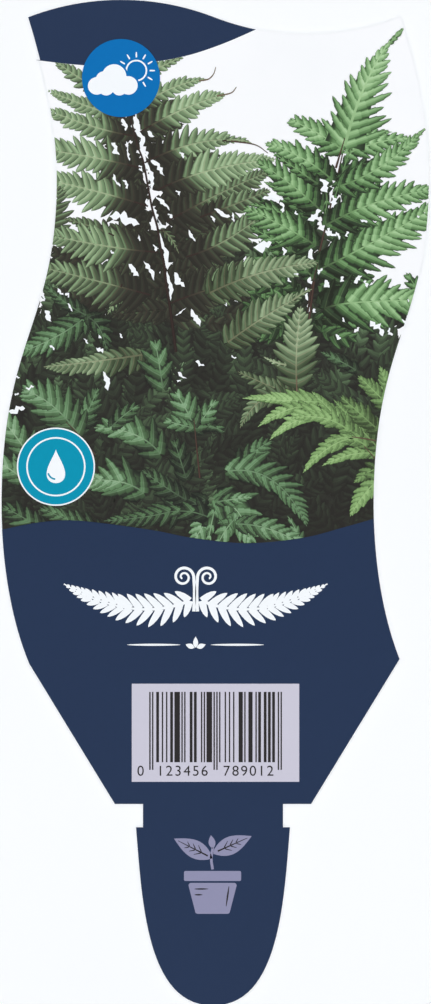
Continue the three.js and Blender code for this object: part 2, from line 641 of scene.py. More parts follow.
# The usual shares of a midrib between which the tone at its foot turns to the tone at its tip.
DAWN = (0.12, 0.5)

# No leaflet is shorter than this, in millimetres.
SHORTEST = 0.05


class Spray:
    """One leaf of a frond: a midrib through three print positions, how far its leaflets reach to
    the left and right, their spacing, the tones at foot and tip, and its layer in the stack.
    bare is the share of the midrib before the first leaflets, and dawn the two shares between
    which the tone at the foot turns to the tone at the tip."""

    # The midrib's stretches end at these shares of its length, and leaflets sit closer on each.
    STRETCHES = ((0.5, 1.0), (0.8, 0.82), (1.0, 0.6))
    STEPS = 8

    def __init__(self, row, layer, form, bare=0.0, dawn=DAWN):
        bx, by, mx, my, tx, ty, left, right, self.spacing, self.inner, self.outer = row
        self.base, middle, self.tip = (np.array(at(*p)) for p in ((bx, by), (mx, my), (tx, ty)))
        self.pull = 2 * middle - (self.base + self.tip) / 2
        self.reach = {"left": left, "right": right}
        self.form, self.layer, self.bare, self.dawn = form, layer, bare, dawn

    def path_at(self, share):
        t = share[:, None]
        return (1 - t) ** 2 * self.base + 2 * t * (1 - t) * self.pull + t**2 * self.tip

    def reach_at(self, share, side):
        return np.maximum(self.reach[side] * self.form(share), SHORTEST) * MM

    def tone_at(self, share):
        first, last = self.dawn
        light = np.clip((share - first) / (last - first), 0, 1)
        return self.inner + (self.outer - self.inner) * light * light * (3 - 2 * light)

    def stretches(self):
        """Each stretch of the midrib as shares along it, and its leaflets' spacing in metres."""
        first = self.bare
        for last, closeness in self.STRETCHES:
            yield np.linspace(first, last, self.STEPS + 1), self.spacing * closeness * MM
            first = last


def midrib_mesh(sprays):
    """The midribs as chains of edges, with the facts that the leaflets are set by. joint marks
    where a stretch goes on from the one before, so that no place gets its leaflets twice."""
    points = []
    edges = []
    facts = {}
    for spray in sprays:
        for share, spacing in spray.stretches():
            start = len(points)
            points += [(x, y, 0.0) for x, y in spray.path_at(share)]
            edges += [(i, i + 1) for i in range(start, len(points) - 1)]
            stretch = {
                "reach_left": spray.reach_at(share, "left"),
                "reach_right": spray.reach_at(share, "right"),
                "share": share,
                "tone": spray.tone_at(share),
                "spacing": spacing,
                "layer": spray.layer,
                "joint": (np.arange(len(share)) == 0) & (share > spray.bare),
            }
            for key, values in stretch.items():
                facts.setdefault(key, []).extend(np.full(share.shape, values, float).tolist())
    mesh = bpy.data.meshes.new("midribs")
    mesh.from_pydata(points, edges, [])
    store(mesh, facts)
    return mesh


def grow(sprays, pair, ink, lean, fullness, unevenness=0.17, spread=0.07):
    """Runs the leaflet tree over the sprays and returns the plain mesh with its facts. lean is
    in degrees, and fullness is a leaflet's breadth as a share of the spacing."""
    carrier = shown("midribs", midrib_mesh(sprays))
    modifier = carrier.modifiers.new("leaflets", "NODES")
    modifier.node_group = LEAFLET_TREE
    settings = {
        "Left leaflet": pair[0],
        "Right leaflet": pair[1],
        "Lean": math.radians(lean),
        "Fullness": fullness,
        "Unevenness": unevenness,
        "Tone spread": spread,
        "Seed": SEED,
        "Ink": ink,
    }
    for label, value in settings.items():
        modifier[INPUTS[label]] = value
    mesh = evaluated_mesh(carrier)
    carrier.modifiers.remove(modifier)
    remove([carrier])
    return mesh


# The picture bleeds to the cut line at both sides. Above and below it stops at the band and the
# wave. Points beyond are pressed together just inside that border, so that every film stays closed.
INSET = 0.02 * MM
PRESS = 0.005
HEIGHTS = np.linspace(WAVE[:, 1].min() - MM, CAD_HIGH.y - 0.1 * MM, 400)
LEFT_SIDE = np.array([side_at(h, True) for h in HEIGHTS])
RIGHT_SIDE = np.array([side_at(h, False) for h in HEIGHTS])
TOP_EDGE = OUTLINE[OUTLINE[:, 1] > BAND_EDGE[0][1]]
TOP_EDGE = TOP_EDGE[np.argsort(TOP_EDGE[:, 0])]


def borders(x, y):
    """The picture's left and right borders at heights y, and its lower and upper ones at x."""
    left = np.interp(y, HEIGHTS, LEFT_SIDE)
    right = np.interp(y, HEIGHTS, RIGHT_SIDE)
    low = np.interp(x, WAVE[:, 0], WAVE[:, 1])
    band = np.interp(x, BAND_EDGE[:, 0], BAND_EDGE[:, 1])
    rim = np.interp(x, TOP_EDGE[:, 0], TOP_EDGE[:, 1])
    return left, right, low, np.where(x < BAND_EDGE[-1][0], band, rim)


def inside(x, y):
    left, right, low, high = borders(x, y)
    return (x > left) & (x < right) & (y > low) & (y < high)


def pressed(value, low, high):
    """Values pressed in between low and high, but never quite onto them."""
    low, high = low + INSET, high - INSET
    value = np.where(value < low, low + (value - low) * PRESS, value)
    return np.where(value > high, high + (value - high) * PRESS, value)


def pressed_inside(x, y):
    for _ in range(2):
        left, right, low, high = borders(x, y)
        x, y = pressed(x, left, right), pressed(y, low, high)
    return x, y


# The picture's light comes from its upper left, and a leaflet's lit side is the one towards it.
LIGHT = np.array((-0.35, 0.94))

# A leaflet's top leans across by this share of a layer, so that neighbours overlap like shingles.
SHINGLE = 0.25

# Near its foot a leaflet runs into its neighbours, so its colours span only part of its breadth.
JOINED = 0.75

# How much the tone wanders within a leaflet, and how much it climbs over each of its teeth.
MOTTLE = 0.05
LOBE = 0.03

# The part of the leaf inks' chart that is used: tones along U, and the breadth of a film's top to
# either side of the middle of V. A film's foot lies aside of its top by a little of both, so that
# its walls have some width there too.
CHART_TONES = (0.02, 0.98)
CHART_BREADTH = 0.48
FOOT_TONE = 0.05
FOOT_BREADTH = 0.06


def chart_points(tone, across, lift):
    """Where points lie on the leaf inks' chart. lift is 1 at a film's top and 0 at its foot."""
    u = np.clip(tone - FOOT_TONE * (1 - lift), *CHART_TONES)
    return np.stack([u, 0.5 + across * (CHART_BREADTH - FOOT_BREADTH * (1 - lift))], -1)


def set_chart(mesh, chart):
    """Gives the mesh its UV map from each point's place on the chart."""
    corner = np.zeros(len(mesh.loops), np.int32)
    mesh.loops.foreach_get("vertex_index", corner)
    layer = mesh.uv_layers.new(name="OFBake")
    layer.uv.foreach_set("vector", chart.reshape(-1, 2)[corner].astype(np.float32).ravel())


def leaflet_facts(mesh, corners):
    """What grown leaflets keep, in a row for each leaflet: its corners' places and their facts."""
    count = len(mesh.vertices) // corners
    facts = {}
    for key in ("along", "across", "lift", "shingle", "tone", "layer"):
        values = np.zeros(count * corners, np.float32)
        mesh.attributes[key].data.foreach_get("value", values)
        facts[key] = values.reshape(count, corners)
    place = np.zeros(count * corners * 3, np.float32)
    mesh.vertices.foreach_get("co", place)
    facts["place"] = place.reshape(count, corners, 3)[:, :, :2].astype(float)
    return facts


def cropped(facts, faces, corners):
    """The leaflets that lie at least partly inside the picture, with their corners counted anew."""
    keep = inside(facts["place"][:, :, 0], facts["place"][:, :, 1]).any(axis=1)
    drop = (np.arange(len(keep)) - np.cumsum(keep) + 1) * corners
    kept_faces = []
    for face in faces:
        leaf = face[0] // corners
        if keep[leaf]:
            kept_faces.append(tuple(int(v - drop[leaf]) for v in face))
    return {key: value[keep] for key, value in facts.items()}, kept_faces


def leaflets_film(name, mesh, corners, ink, glow, bounded, lobed=False):
    """Turns grown leaflets, each of the same number of corners, into one piece of the print. They
    get lighter towards their tips by glow."""
    facts = leaflet_facts(mesh, corners)
    faces = [tuple(p.vertices) for p in mesh.polygons]
    bpy.data.meshes.remove(mesh)
    if bounded:
        facts, faces = cropped(facts, faces, corners)
    place = facts["place"]
    x, y = place[:, :, 0], place[:, :, 1]
    side = place[:, 2] - place[:, 0]
    lit = np.where(side @ LIGHT > 0, 1.0, -1.0)[:, None]
    if bounded:
        x, y = pressed_inside(x, y)
    z = FACE + facts["lift"] * (facts["layer"] + SHINGLE * facts["shingle"]) * LAYER
    dice = np.random.default_rng(SEED)
    tone = facts["tone"] + glow * (facts["along"] - 0.5) + dice.uniform(-MOTTLE, MOTTLE, x.shape)
    if lobed:
        tone = tone + LOBE * ((facts["along"] * TEETH) % 1.0 - 0.5)
    across = facts["across"] * lit * np.minimum(1.0, JOINED + facts["along"])
    result = closed_mesh(name, np.stack([x, y, z], 2).reshape(-1, 3).tolist(), faces)
    set_chart(result, chart_points(tone, across, facts["lift"]))
    put(name, result, ink)


# Where a ribbon's corners lie in each row. Its tone climbs a little from its start to its end.
RIBBON_ACROSS = np.array((-1.0, 0.0, 1.0, -1.0, 1.0))
RIBBON_LIFT = np.array((1.0, 1.0, 1.0, 0.0, 0.0))
RIBBON_CLIMB = 0.04


def ribbon(path, half, tones, layer, breadth, bounded):
    """The corners of one ribbon, and where they lie on the chart."""
    side = sideways(path)
    lit = 1.0 if side[0] @ LIGHT > 0 else -1.0
    rows = path[:, None, :] + (RIBBON_ACROSS[:, None] * half[:, None, None]) * side[:, None, :]
    x, y = rows[:, :, 0], rows[:, :, 1]
    if bounded:
        x, y = pressed_inside(x, y)
    z = np.broadcast_to(FACE + layer * LAYER * RIBBON_LIFT, x.shape)
    climb = np.linspace(0, RIBBON_CLIMB, len(path))[:, None]
    facts = (tones[:, None] + climb, RIBBON_ACROSS * lit * breadth, RIBBON_LIFT)
    chart = chart_points(*(np.broadcast_to(fact, x.shape) for fact in facts))
    return np.stack([x, y, z], 2).reshape(-1, 3), chart.reshape(-1, 2)


def ribbons(name, strips, ink, bounded=True):
    """Closed ribbons. A strip is a path, half widths in metres, tones along it, a layer, and how
    much of a leaflet's breadth its colours span: all for a strip of blade, little for a vein.
    A bounded strip keeps only the part of its path inside the picture."""
    points = []
    chart = []
    faces = []
    for path, half, tones, layer, breadth in strips:
        if bounded:
            keep = np.flatnonzero(inside(path[:, 0], path[:, 1]))
            if len(keep) < 2:
                continue
            path, half, tones = (v[keep[0]: keep[-1] + 1] for v in (path, half, tones))
        corners, spots = ribbon(path, half, tones, layer, breadth, bounded)
        start, last = len(points), len(points) + ROW_CORNERS * (len(path) - 1)
        points += corners.tolist()
        chart += spots.tolist()
        for a in range(start, last, ROW_CORNERS):
            b = a + ROW_CORNERS
            faces += [(a, b, b + 1, a + 1), (a + 1, b + 1, b + 2, a + 2)]
            faces += [(a + 3, a + 4, b + 4, b + 3)]
            faces += [(a, a + 3, b + 3, b), (a + 2, b + 2, b + 4, a + 4)]
        faces.append((start, start + 1, start + 2, start + 4, start + 3))
        faces.append((last, last + 3, last + 4, last + 2, last + 1))
    mesh = closed_mesh(name, points, faces)
    set_chart(mesh, np.array(chart))
    put(name, mesh, ink)


# ---------------------------------------------------------------- the fern picture

# Each row is one leaf of a frond: the foot, middle and tip of its midrib, how far its leaflets
# reach to the left and to the right, how far apart they sit, and its tones at foot and tip.
TALL_FROND = (
    (19.4, 17.4, 14.8, 14.8, 9.9, 11.4, 2.5, 2.5, 1.21, 0.32, 0.6),
    (23.5, 22.5, 16.7, 20.3, 8.4, 17, 2.6, 2.8, 1.25, 0.2, 0.64),
    (24.9, 25.7, 17.1, 23.9, 7.7, 20.4, 3.6, 3.2, 1.32, 0.12, 0.64),
    (26.4, 31.8, 16.7, 29.7, 5.8, 28, 4.3, 5.1, 1.4, 0.08, 0.66),
    (27.7, 39, 17.5, 36.1, 5.4, 33.3, 5.5, 4.9, 1.4, 0.06, 0.66),
    (9.2, 45.4, 9.9, 40.3, 10.7, 35.2, 0.9, 4.7, 1.13, 0.3, 0.4),
    (21.3, 44.6, 17.1, 42.9, 11.8, 41.4, 1.9, 2.3, 1.21, 0.24, 0.4),
    (29.6, 47.7, 19.4, 46.5, 5.4, 43.7, 5.9, 5.3, 1.4, 0.03, 0.58),
    (22.8, 53.7, 21.8, 56.2, 20.1, 59.4, 1.5, 1.5, 1.13, 0.34, 0.54),
    (28.1, 55.8, 17.9, 53.1, 5, 49.9, 5.5, 4.7, 1.4, 0.03, 0.5),
    (25.8, 14.4, 30, 12.7, 35.2, 10.2, 1.7, 1.7, 1.1, 0.3, 0.6),
    (25.4, 20.8, 32.2, 16.7, 38.8, 15, 2.3, 2.3, 1.17, 0.34, 0.66),
    (26.2, 25, 34.1, 20.8, 42.4, 17.8, 4, 3.8, 1.47, 0.2, 0.68),
    (27.1, 30.8, 36, 27.3, 44.3, 26.5, 4.3, 3.2, 1.44, 0.03, 0.6),
    (41.7, 26.7, 44.7, 26.5, 47.3, 27.1, 1.1, 0.9, 0.95, 0.5, 0.6),
    (29.6, 35.9, 39.6, 32.2, 51.9, 30.1, 4.7, 4.7, 1.44, 0.05, 0.68),
    (31.5, 41.8, 41.1, 36.7, 51.1, 32.2, 4, 5.3, 1.32, 0.04, 0.46),
    (37.5, 41.1, 44.7, 38.4, 50.7, 35.9, 2.8, 3.8, 1.25, 0.12, 0.42),
    (34.9, 48.6, 43.2, 45, 51.5, 38.6, 4.2, 4.9, 1.36, 0.04, 0.5),
    (31.5, 57.5, 45.6, 52.8, 59.8, 49.7, 4.9, 4.7, 1.44, 0.05, 0.62),
    (30, 43.5, 31.8, 44.8, 33.5, 47.9, 1.1, 1.1, 0.95, 0.26, 0.4),
)
TALL_SHADE = (
    (26.7, 22, 30.3, 20.4, 34.1, 19.7, 2.1, 2.3, 1.32, 0.06, 0.26),
    (26.2, 26.5, 30.3, 24.6, 34.5, 23.5, 2.3, 2.5, 1.32, 0.04, 0.22),
    (28.1, 32.2, 34.1, 29.9, 41.7, 29.5, 2.6, 2.6, 1.32, 0.03, 0.2),
    (28.4, 34.8, 34.9, 32.5, 42.4, 32.5, 2.6, 2.6, 1.32, 0.03, 0.22),
    (29.2, 39, 35.6, 36.7, 44.3, 33.7, 3, 3, 1.32, 0.03, 0.2),
    (29.6, 40.5, 36.8, 39.7, 45.8, 37.8, 3, 3, 1.32, 0.03, 0.18),
    (30, 45.4, 36.8, 42.4, 45.8, 37.5, 3, 3, 1.32, 0.03, 0.2),
    (30.3, 47.7, 37.5, 46.5, 45.5, 42.8, 3, 3, 1.32, 0.03, 0.18),
    (30.7, 52.6, 38.3, 49.2, 47, 44.6, 3.2, 3.2, 1.32, 0.05, 0.24),
    (24.5, 21.2, 23.9, 23.9, 23.2, 26.9, 1.3, 1.3, 1.13, 0.04, 0.16),
    (25, 19.7, 26, 21.6, 26.4, 24.2, 1.1, 1.1, 1.13, 0.04, 0.2),
    (25.6, 25.7, 24.9, 28.8, 23.7, 31.8, 1.3, 1.3, 1.13, 0.04, 0.16),
    (26.7, 30.7, 25.8, 34.1, 24.7, 37.1, 1.1, 1.1, 1.13, 0.04, 0.14),
    (27.5, 37.1, 26.7, 38.6, 25.8, 40.3, 1.1, 1.1, 1.13, 0.04, 0.14),
    (28.4, 40.1, 27.5, 42, 26.4, 44.1, 1.1, 1.1, 1.13, 0.04, 0.14),
    (31.5, 54.8, 39, 52.6, 47.3, 49.6, 3.2, 3.2, 1.32, 0.05, 0.24),
    (18.2, 49.9, 12.9, 48.8, 7.3, 46.7, 2.6, 2.6, 1.32, 0.04, 0.12),
    (19.4, 57.9, 14.1, 56.4, 7.7, 54.3, 2.1, 2.1, 1.32, 0.04, 0.12),
    (31.5, 60.1, 39, 56.7, 47.3, 54.8, 3.2, 3.2, 1.32, 0.05, 0.24),
    (25, 25, 22.8, 26.1, 20.5, 26.9, 2.1, 2.1, 1.32, 0.05, 0.24),
    (26, 29.9, 23.5, 31.4, 20.9, 32.2, 2.3, 2.3, 1.32, 0.04, 0.22),
    (27.3, 35.6, 24.3, 36.3, 20.9, 36.3, 2.3, 2.3, 1.32, 0.04, 0.2),
    (29.2, 44.6, 26.2, 45, 22.8, 44.6, 2.3, 2.3, 1.32, 0.04, 0.2),
    (30, 49.9, 25.4, 50.3, 19.4, 50.7, 2.8, 2.8, 1.32, 0.04, 0.18),
    (30.7, 54.1, 26.2, 55.2, 19.4, 56.7, 3, 3, 1.32, 0.04, 0.16),
    (31.5, 58.6, 26.2, 59, 20.5, 59.8, 3, 3, 1.32, 0.04, 0.16),
)
NARROW_LEAVES = (
    (42.8, 64.7, 49.6, 60, 56.4, 56, 4.5, 3.8, 1.29, 0.3, 0.56),
    (54.9, 56.9, 56.8, 55.6, 58.7, 54.7, 1.1, 0.9, 0.95, 0.5, 0.58),
    (39.4, 55.4, 49.2, 51.6, 59.8, 49.7, 4.5, 4.3, 1.36, 0.24, 0.6),
    (26.6, 67.1, 17.9, 68.3, 8, 69.4, 4, 2.3, 1.4, 0.26, 0.56),
    (55.8, 72.6, 55.8, 65.8, 56.6, 57.9, 4.9, 4.9, 1.4, 0.34, 0.64),
    (53.8, 69, 51.7, 68.5, 49.6, 67.5, 0.8, 0.8, 0.76, 0.56, 0.7),
    (56.4, 75.3, 50.7, 73, 44.7, 70.3, 2.6, 2.6, 1.21, 0.2, 0.38),
    (54.1, 74.9, 49.2, 75.6, 45.1, 80.9, 2.6, 2.6, 1.21, 0.26, 0.46),
)
BRIGHT_FROND = (
    (59.1, 52.6, 55.3, 49.6, 50, 46.7, 2.8, 3, 1.44, 0.14, 0.32),
    (56.4, 48.4, 51.5, 45.4, 46.8, 42.9, 2.6, 2.8, 1.51, 0.12, 0.36),
    (61.3, 36.1, 61.5, 38.2, 61.1, 40.5, 1.1, 1.1, 1.13, 0.14, 0.28),
    (64.4, 33.3, 63.6, 35.6, 62.7, 38.2, 1.7, 1.7, 1.13, 0.14, 0.28),
    (59.8, 34.8, 56, 32.2, 51.5, 29, 1.7, 2.1, 1.44, 0.16, 0.38),
    (56.4, 38.6, 53.4, 36.5, 49.6, 34.4, 1.5, 1.9, 1.32, 0.28, 0.44),
    (54.5, 40.9, 50.7, 39.5, 46.8, 38.6, 1.3, 1.5, 1.21, 0.2, 0.42),
    (64.2, 33.7, 65.1, 30.7, 66.4, 27.4, 1.3, 1.5, 1.32, 0.14, 0.3),
    (61.1, 58.4, 68.5, 57.1, 84.8, 56.9, 7, 7.7, 2.12, 0, 0.56),
    (59.4, 46.5, 53.8, 43.1, 45.8, 39.2, 5.1, 4.3, 1.63, 0.14, 0.48),
    (59.8, 51.1, 70.6, 45.6, 85.5, 37.1, 5.5, 7.9, 1.81, 0.14, 0.54),
    (60.6, 40.1, 55.3, 35.4, 48.1, 30.3, 4.2, 5.5, 1.63, 0.14, 0.48),
    (61.3, 42.6, 71.2, 38.2, 82.1, 35.8, 4.7, 5.7, 1.74, 0.16, 0.54),
    (62.5, 34.1, 56.8, 29.9, 49.8, 27.1, 4.2, 4, 1.59, 0.24, 0.56),
    (64, 35.2, 71.9, 31.4, 79.1, 25.2, 3.8, 4.2, 1.63, 0.3, 0.54),
    (77.2, 26.7, 78.9, 25.4, 80.4, 24, 0.8, 0.8, 0.76, 0.5, 0.56),
    (64.5, 28.4, 59.4, 25, 54.3, 22.7, 4.3, 3.8, 1.51, 0.42, 0.58),
    (65.3, 29.1, 71.5, 26.9, 77.2, 26.1, 2.6, 3.4, 1.44, 0.46, 0.58),
    (65.5, 27.1, 68.9, 25.6, 73.8, 25, 1.7, 1.7, 1.21, 0.34, 0.5),
    (73.4, 8.2, 74.7, 6.8, 76.1, 5.3, 0.9, 0.9, 0.64, 0.42, 0.5),
    (79.9, 57.1, 78.3, 54.3, 76.5, 51.6, 2.3, 2.3, 1.32, 0.3, 0.38),
)
BRIGHT_TIP = (
    (64.9, 27.6, 68.5, 16.7, 73.4, 7.8, 6.7, 8.7, 1.81, 0.56, 0.66),
)
LOWER_LEAVES = (
    (16, 59.8, 10.3, 63.7, 2.4, 67.1, 4.5, 4.2, 1.51, 0.3, 0.5),
    (16, 59.6, 12.2, 57.3, 7.7, 53.5, 2.3, 2.6, 1.32, 0.16, 0.3),
    (16.3, 60, 18.6, 62.2, 19.9, 66.6, 3.4, 2.3, 1.42, 0.1, 0.24),
    (11.1, 103.6, 5.4, 98.7, 0.1, 96, 4.2, 4.2, 1.7, 0.14, 0.3),
    (20.9, 103, 13.9, 99.1, 7.3, 96, 4.2, 4.2, 1.7, 0.16, 0.34),
    (4.3, 90.8, 1.2, 88.5, -2.2, 87, 3.8, 3.8, 1.61, 0.44, 0.64),
    (6.1, 87.4, 2.4, 82.1, -1.4, 77.5, 4.5, 4.5, 1.66, 0.4, 0.62),
    (67, 70, 64, 68.3, 60.4, 66.6, 2.3, 2.3, 1.32, 0.14, 0.3),
    (38.5, 94.5, 30, 97.2, 19.4, 98.5, 3.8, 3.8, 1.61, 0.1, 0.26),
    (40.5, 94.5, 44.7, 96.8, 47.3, 103.2, 5.9, 6.4, 1.81, 0.36, 0.58),
    (40.7, 94.9, 43.9, 94.4, 47.3, 94, 2.1, 2.1, 1.13, 0.34, 0.56),
    (43.9, 89.2, 47.7, 85.5, 51.1, 83.4, 3.2, 3.2, 1.51, 0.16, 0.38),
    (42.8, 89.1, 51.3, 90.9, 57.7, 99.5, 5.5, 3.8, 1.59, 0.42, 0.38),
    (56.8, 103.8, 55.8, 100.6, 54.1, 97.6, 1.7, 1.7, 1.32, 0.34, 0.5),
    (44.7, 99.1, 51.1, 100.2, 58.3, 103.8, 3.4, 3.4, 1.51, 0.36, 0.54),
    (40.2, 96.8, 39.6, 99.5, 39, 102.9, 1.9, 1.9, 1.51, 0.42, 0.56),
    (41.7, 96, 38.7, 98.7, 36, 103.2, 3.8, 3.4, 1.7, 0.42, 0.6),
    (44.7, 97.6, 42.4, 100.2, 40.4, 104, 3, 2.8, 1.63, 0.36, 0.56),
    (30, 85.8, 25, 82.1, 17.5, 80.9, 4.9, 5.5, 1.85, 0.32, 0.58),
    (26.9, 93.2, 22.4, 91.1, 16, 90.9, 6.4, 6, 1.85, 0.34, 0.58),
    (20.9, 80.6, 23.2, 78.5, 25.8, 76.6, 2.8, 2.8, 1.44, 0.2, 0.38),
    (36.8, 80.9, 38.7, 78.3, 40.5, 75.6, 2.8, 2.8, 1.44, 0.32, 0.52),
    (36.4, 80.7, 34.7, 77.1, 32.8, 74.1, 3.8, 3.8, 1.51, 0.36, 0.55),
    (36.2, 80.9, 33.4, 80.2, 30.9, 79.4, 2.3, 2.5, 1.32, 0.34, 0.5),
    (36.6, 81.3, 39, 80.6, 42.1, 81.7, 2.8, 2.8, 1.44, 0.2, 0.32),
    (34.9, 90.4, 33.7, 86.6, 32.6, 83.2, 3.4, 3.4, 1.59, 0.1, 0.24),
    (34.9, 94.5, 30.7, 91.9, 26.6, 88.9, 3.4, 3.4, 1.59, 0.1, 0.24),
    (40.2, 98.3, 36, 96.8, 31.8, 96.8, 3.4, 3.4, 1.59, 0.12, 0.28),
    (14.1, 82.1, 16.3, 77.9, 18.2, 73.4, 3.4, 3.4, 1.47, 0.2, 0.38),
    (14.5, 82.1, 9.5, 76.6, 3.9, 73.7, 5.3, 5.9, 1.85, 0.34, 0.54),
    (30.5, 73.4, 29.8, 68.8, 29, 64.3, 4.9, 3.6, 1.81, 0.28, 0.46),
)
LIME_FROND = (
    (75.7, 80.4, 73.8, 75.6, 71.5, 69.2, 3.4, 3.4, 1.25, 0.34, 0.48),
    (74.6, 78.3, 71.2, 74.7, 67.4, 71.1, 3.2, 3.2, 1.25, 0.32, 0.46),
    (71.2, 81.3, 67.4, 77.9, 64.2, 75.1, 2.8, 2.8, 1.21, 0.22, 0.38),
    (68.9, 84.3, 65.1, 82.8, 61, 84, 2.1, 2.1, 1.13, 0.4, 0.54),
    (72.3, 88.1, 69.6, 89.2, 66.6, 91.3, 2.3, 2.3, 1.17, 0.24, 0.4),
    (71.2, 84.7, 67.4, 80.6, 62.8, 75.6, 2.6, 2.8, 1.17, 0.28, 0.42),
    (67.8, 83.2, 63.6, 79, 58.7, 74.1, 2.5, 2.8, 1.17, 0.36, 0.52),
    (65.5, 81.3, 60.6, 79, 54.5, 79.2, 2.1, 2.5, 1.13, 0.44, 0.58),
    (60.6, 76, 54.7, 75.8, 45.6, 75.3, 1.7, 3.2, 1.13, 0.48, 0.64),
    (57.6, 77, 53.6, 77.7, 48.5, 80.7, 1.9, 2.3, 1.06, 0.46, 0.62),
    (64, 79.4, 57.9, 78.7, 50.7, 83.2, 2.1, 3.4, 1.17, 0.48, 0.66),
    (67.4, 82.8, 62.1, 84.5, 57, 89.4, 2.1, 2.8, 1.17, 0.46, 0.58),
    (70.8, 85.8, 65.9, 86, 60.6, 88.1, 1.9, 2.1, 1.13, 0.42, 0.58),
    (73, 89.6, 69.3, 92.6, 65.9, 97.6, 3, 3.2, 1.32, 0.44, 0.58),
)

# Each stem's width, tone and layer, and the stations that it runs through.
TALL_STEM = (
    0.55, 0.08, 17.2,
    (33, 66.6), (31.8, 57.7), (31.2, 54.1), (30.7, 49.7), (30, 46.5), (29.5, 43.1), (28.5, 39.5),
    (27.8, 35.9), (26.8, 30.5), (25.8, 27.8), (24.8, 23.9), (23.5, 19.7), (22, 13.3),
)
BRIGHT_STEM = (
    0.45, 0.3, 19.9,
    (57.6, 65.2), (59.4, 51.4), (62.1, 39.3), (64, 31.2), (65.1, 26.1),
)
STEMS = (
    TALL_STEM,
    BRIGHT_STEM,
    (0.42, 0.3, 27, (63.2, 31.8), (64, 29.1), (64.9, 26.1)),
    (0.38, 0.24, 27, (57.9, 59), (58.5, 54.8), (59.8, 49.9)),
    (0.45, 0.42, 43, (76.3, 84.7), (71.9, 83.6), (68.9, 83), (66.2, 82.6)),
    (0.38, 0.4, 43.2, (75.3, 90.8), (71.9, 88.1), (68.5, 84.3)),
    (0.42, 0.5, 30.4, (55.8, 76.4), (55.8, 74.1), (55.8, 71.1)),
    (0.38, 0.3, 38.4, (37.5, 90.4), (36.8, 83.6), (36.4, 79.4)),
    (0.34, 0.3, 38.4, (17.7, 86), (14.1, 81.7), (12.2, 79.8)),
    (0.3, 0.55, 17.4, (37.3, 15.3), (39.1, 15), (40.1, 14), (40.5, 12.7)),
    (0.32, 0.55, 17.4, (40.7, 18.2), (43.4, 17.6), (44.4, 16.5)),
    (0.3, 0.34, 17.4, (43.4, 26.7), (47.9, 27.4), (50.4, 29)),
)

# Gaps between the leaves: each one's middle, its angle from the right, its length and width.
TALL_GLIMPSES = (
    (26.4, 26.1, -76, 3.6, 1.23), (27.3, 29.1, -55, 2.1, 0.66), (23.3, 41.4, -15, 6, 1.89),
    (28, 33.1, -76, 5.7, 1.04), (30.5, 38.4, -46, 3.8, 0.68), (29.4, 41.1, -66, 4.3, 0.95),
    (30.8, 47.5, -78, 7.2, 1.04), (31.8, 54.1, -84, 5.7, 1.04), (33.5, 53, -55, 3.4, 1.13),
    (36.7, 60.1, -64, 3.8, 0.87), (33.9, 59, 36, 2.5, 0.3), (23.3, 23.5, -80, 2.6, 0.85),
    (23.9, 28.6, -80, 3.8, 0.57), (21.5, 28.2, -55, 2.8, 1.13), (26.3, 31.9, -60, 1.5, 0.66),
    (21.7, 34.2, -62, 2.8, 0.66), (23.5, 34.8, -60, 1.9, 0.95), (28.2, 25.4, -35, 1.7, 0.66),
    (29.6, 31.6, -50, 4.2, 0.95), (34.1, 29.3, -60, 1.5, 0.57), (28, 51.1, -62, 4.2, 0.95),
    (25, 51.1, -50, 3, 0.95), (41.7, 40.3, -25, 3.4, 0.85), (40, 41.4, -60, 1.5, 0.57),
    (43.8, 41.1, -80, 1.9, 0.47), (27.6, 38.4, -75, 1.7, 0.66), (32, 40.9, -45, 1.5, 0.57),
    (36, 44.6, -60, 2.6, 0.57), (29, 46.9, -70, 1.5, 0.57), (20.9, 47.7, -40, 0.9, 0.47),
    (26, 45, -80, 1.3, 0.38), (33.4, 36.5, -60, 1.3, 0.57), (29.6, 42, -70, 1.7, 0.45),
    (42.4, 57.5, -60, 0.9, 0.57), (44.3, 56.7, -60, 1.1, 0.57), (46.4, 55.8, -60, 1.1, 0.57),
)
BRIGHT_GLIMPSES = (
    (50.9, 37.6, -10, 3.2, 1.13), (53.1, 39.2, -80, 2.1, 0.95), (61.1, 35, -62, 3, 1.7),
    (62.7, 38, -78, 2.6, 1.13), (59.2, 40.8, 35, 3.2, 1.23), (62.3, 44.1, -40, 2.3, 1.13),
    (63.6, 44.6, -70, 1.7, 0.76), (65.3, 44.3, -75, 1.1, 0.66), (58.6, 48.6, -80, 3.2, 1.04),
    (49.4, 46.5, 15, 3.6, 1.7), (53.4, 47.5, -78, 1.7, 0.66), (58.4, 53.1, -80, 1.5, 0.85),
    (57.7, 55.6, -82, 2.6, 0.76), (60.2, 51.3, 60, 1.5, 0.66), (61.5, 53.7, -60, 1.7, 0.95),
    (68.5, 41.8, -20, 1.5, 0.76), (67.4, 52.8, 40, 2.1, 0.95), (68.9, 53.7, -75, 1.5, 0.76),
    (71, 62, -52, 3.8, 1.51), (73.4, 62.8, -70, 1.7, 0.76), (63.6, 63.7, -40, 1.3, 0.76),
    (59.1, 58.8, -60, 0.9, 0.76), (58, 58.2, -85, 1.7, 0.42), (64.4, 52.8, -50, 1.1, 0.76),
    (55.7, 51.8, -40, 0.9, 0.57), (54.4, 53, -50, 1.1, 0.57), (53.4, 52, -60, 0.8, 0.57),
    (55.7, 40.3, -60, 0.9, 0.66), (64.7, 60.5, -60, 1.1, 0.57), (76.1, 60.9, -60, 1.5, 0.47),
)
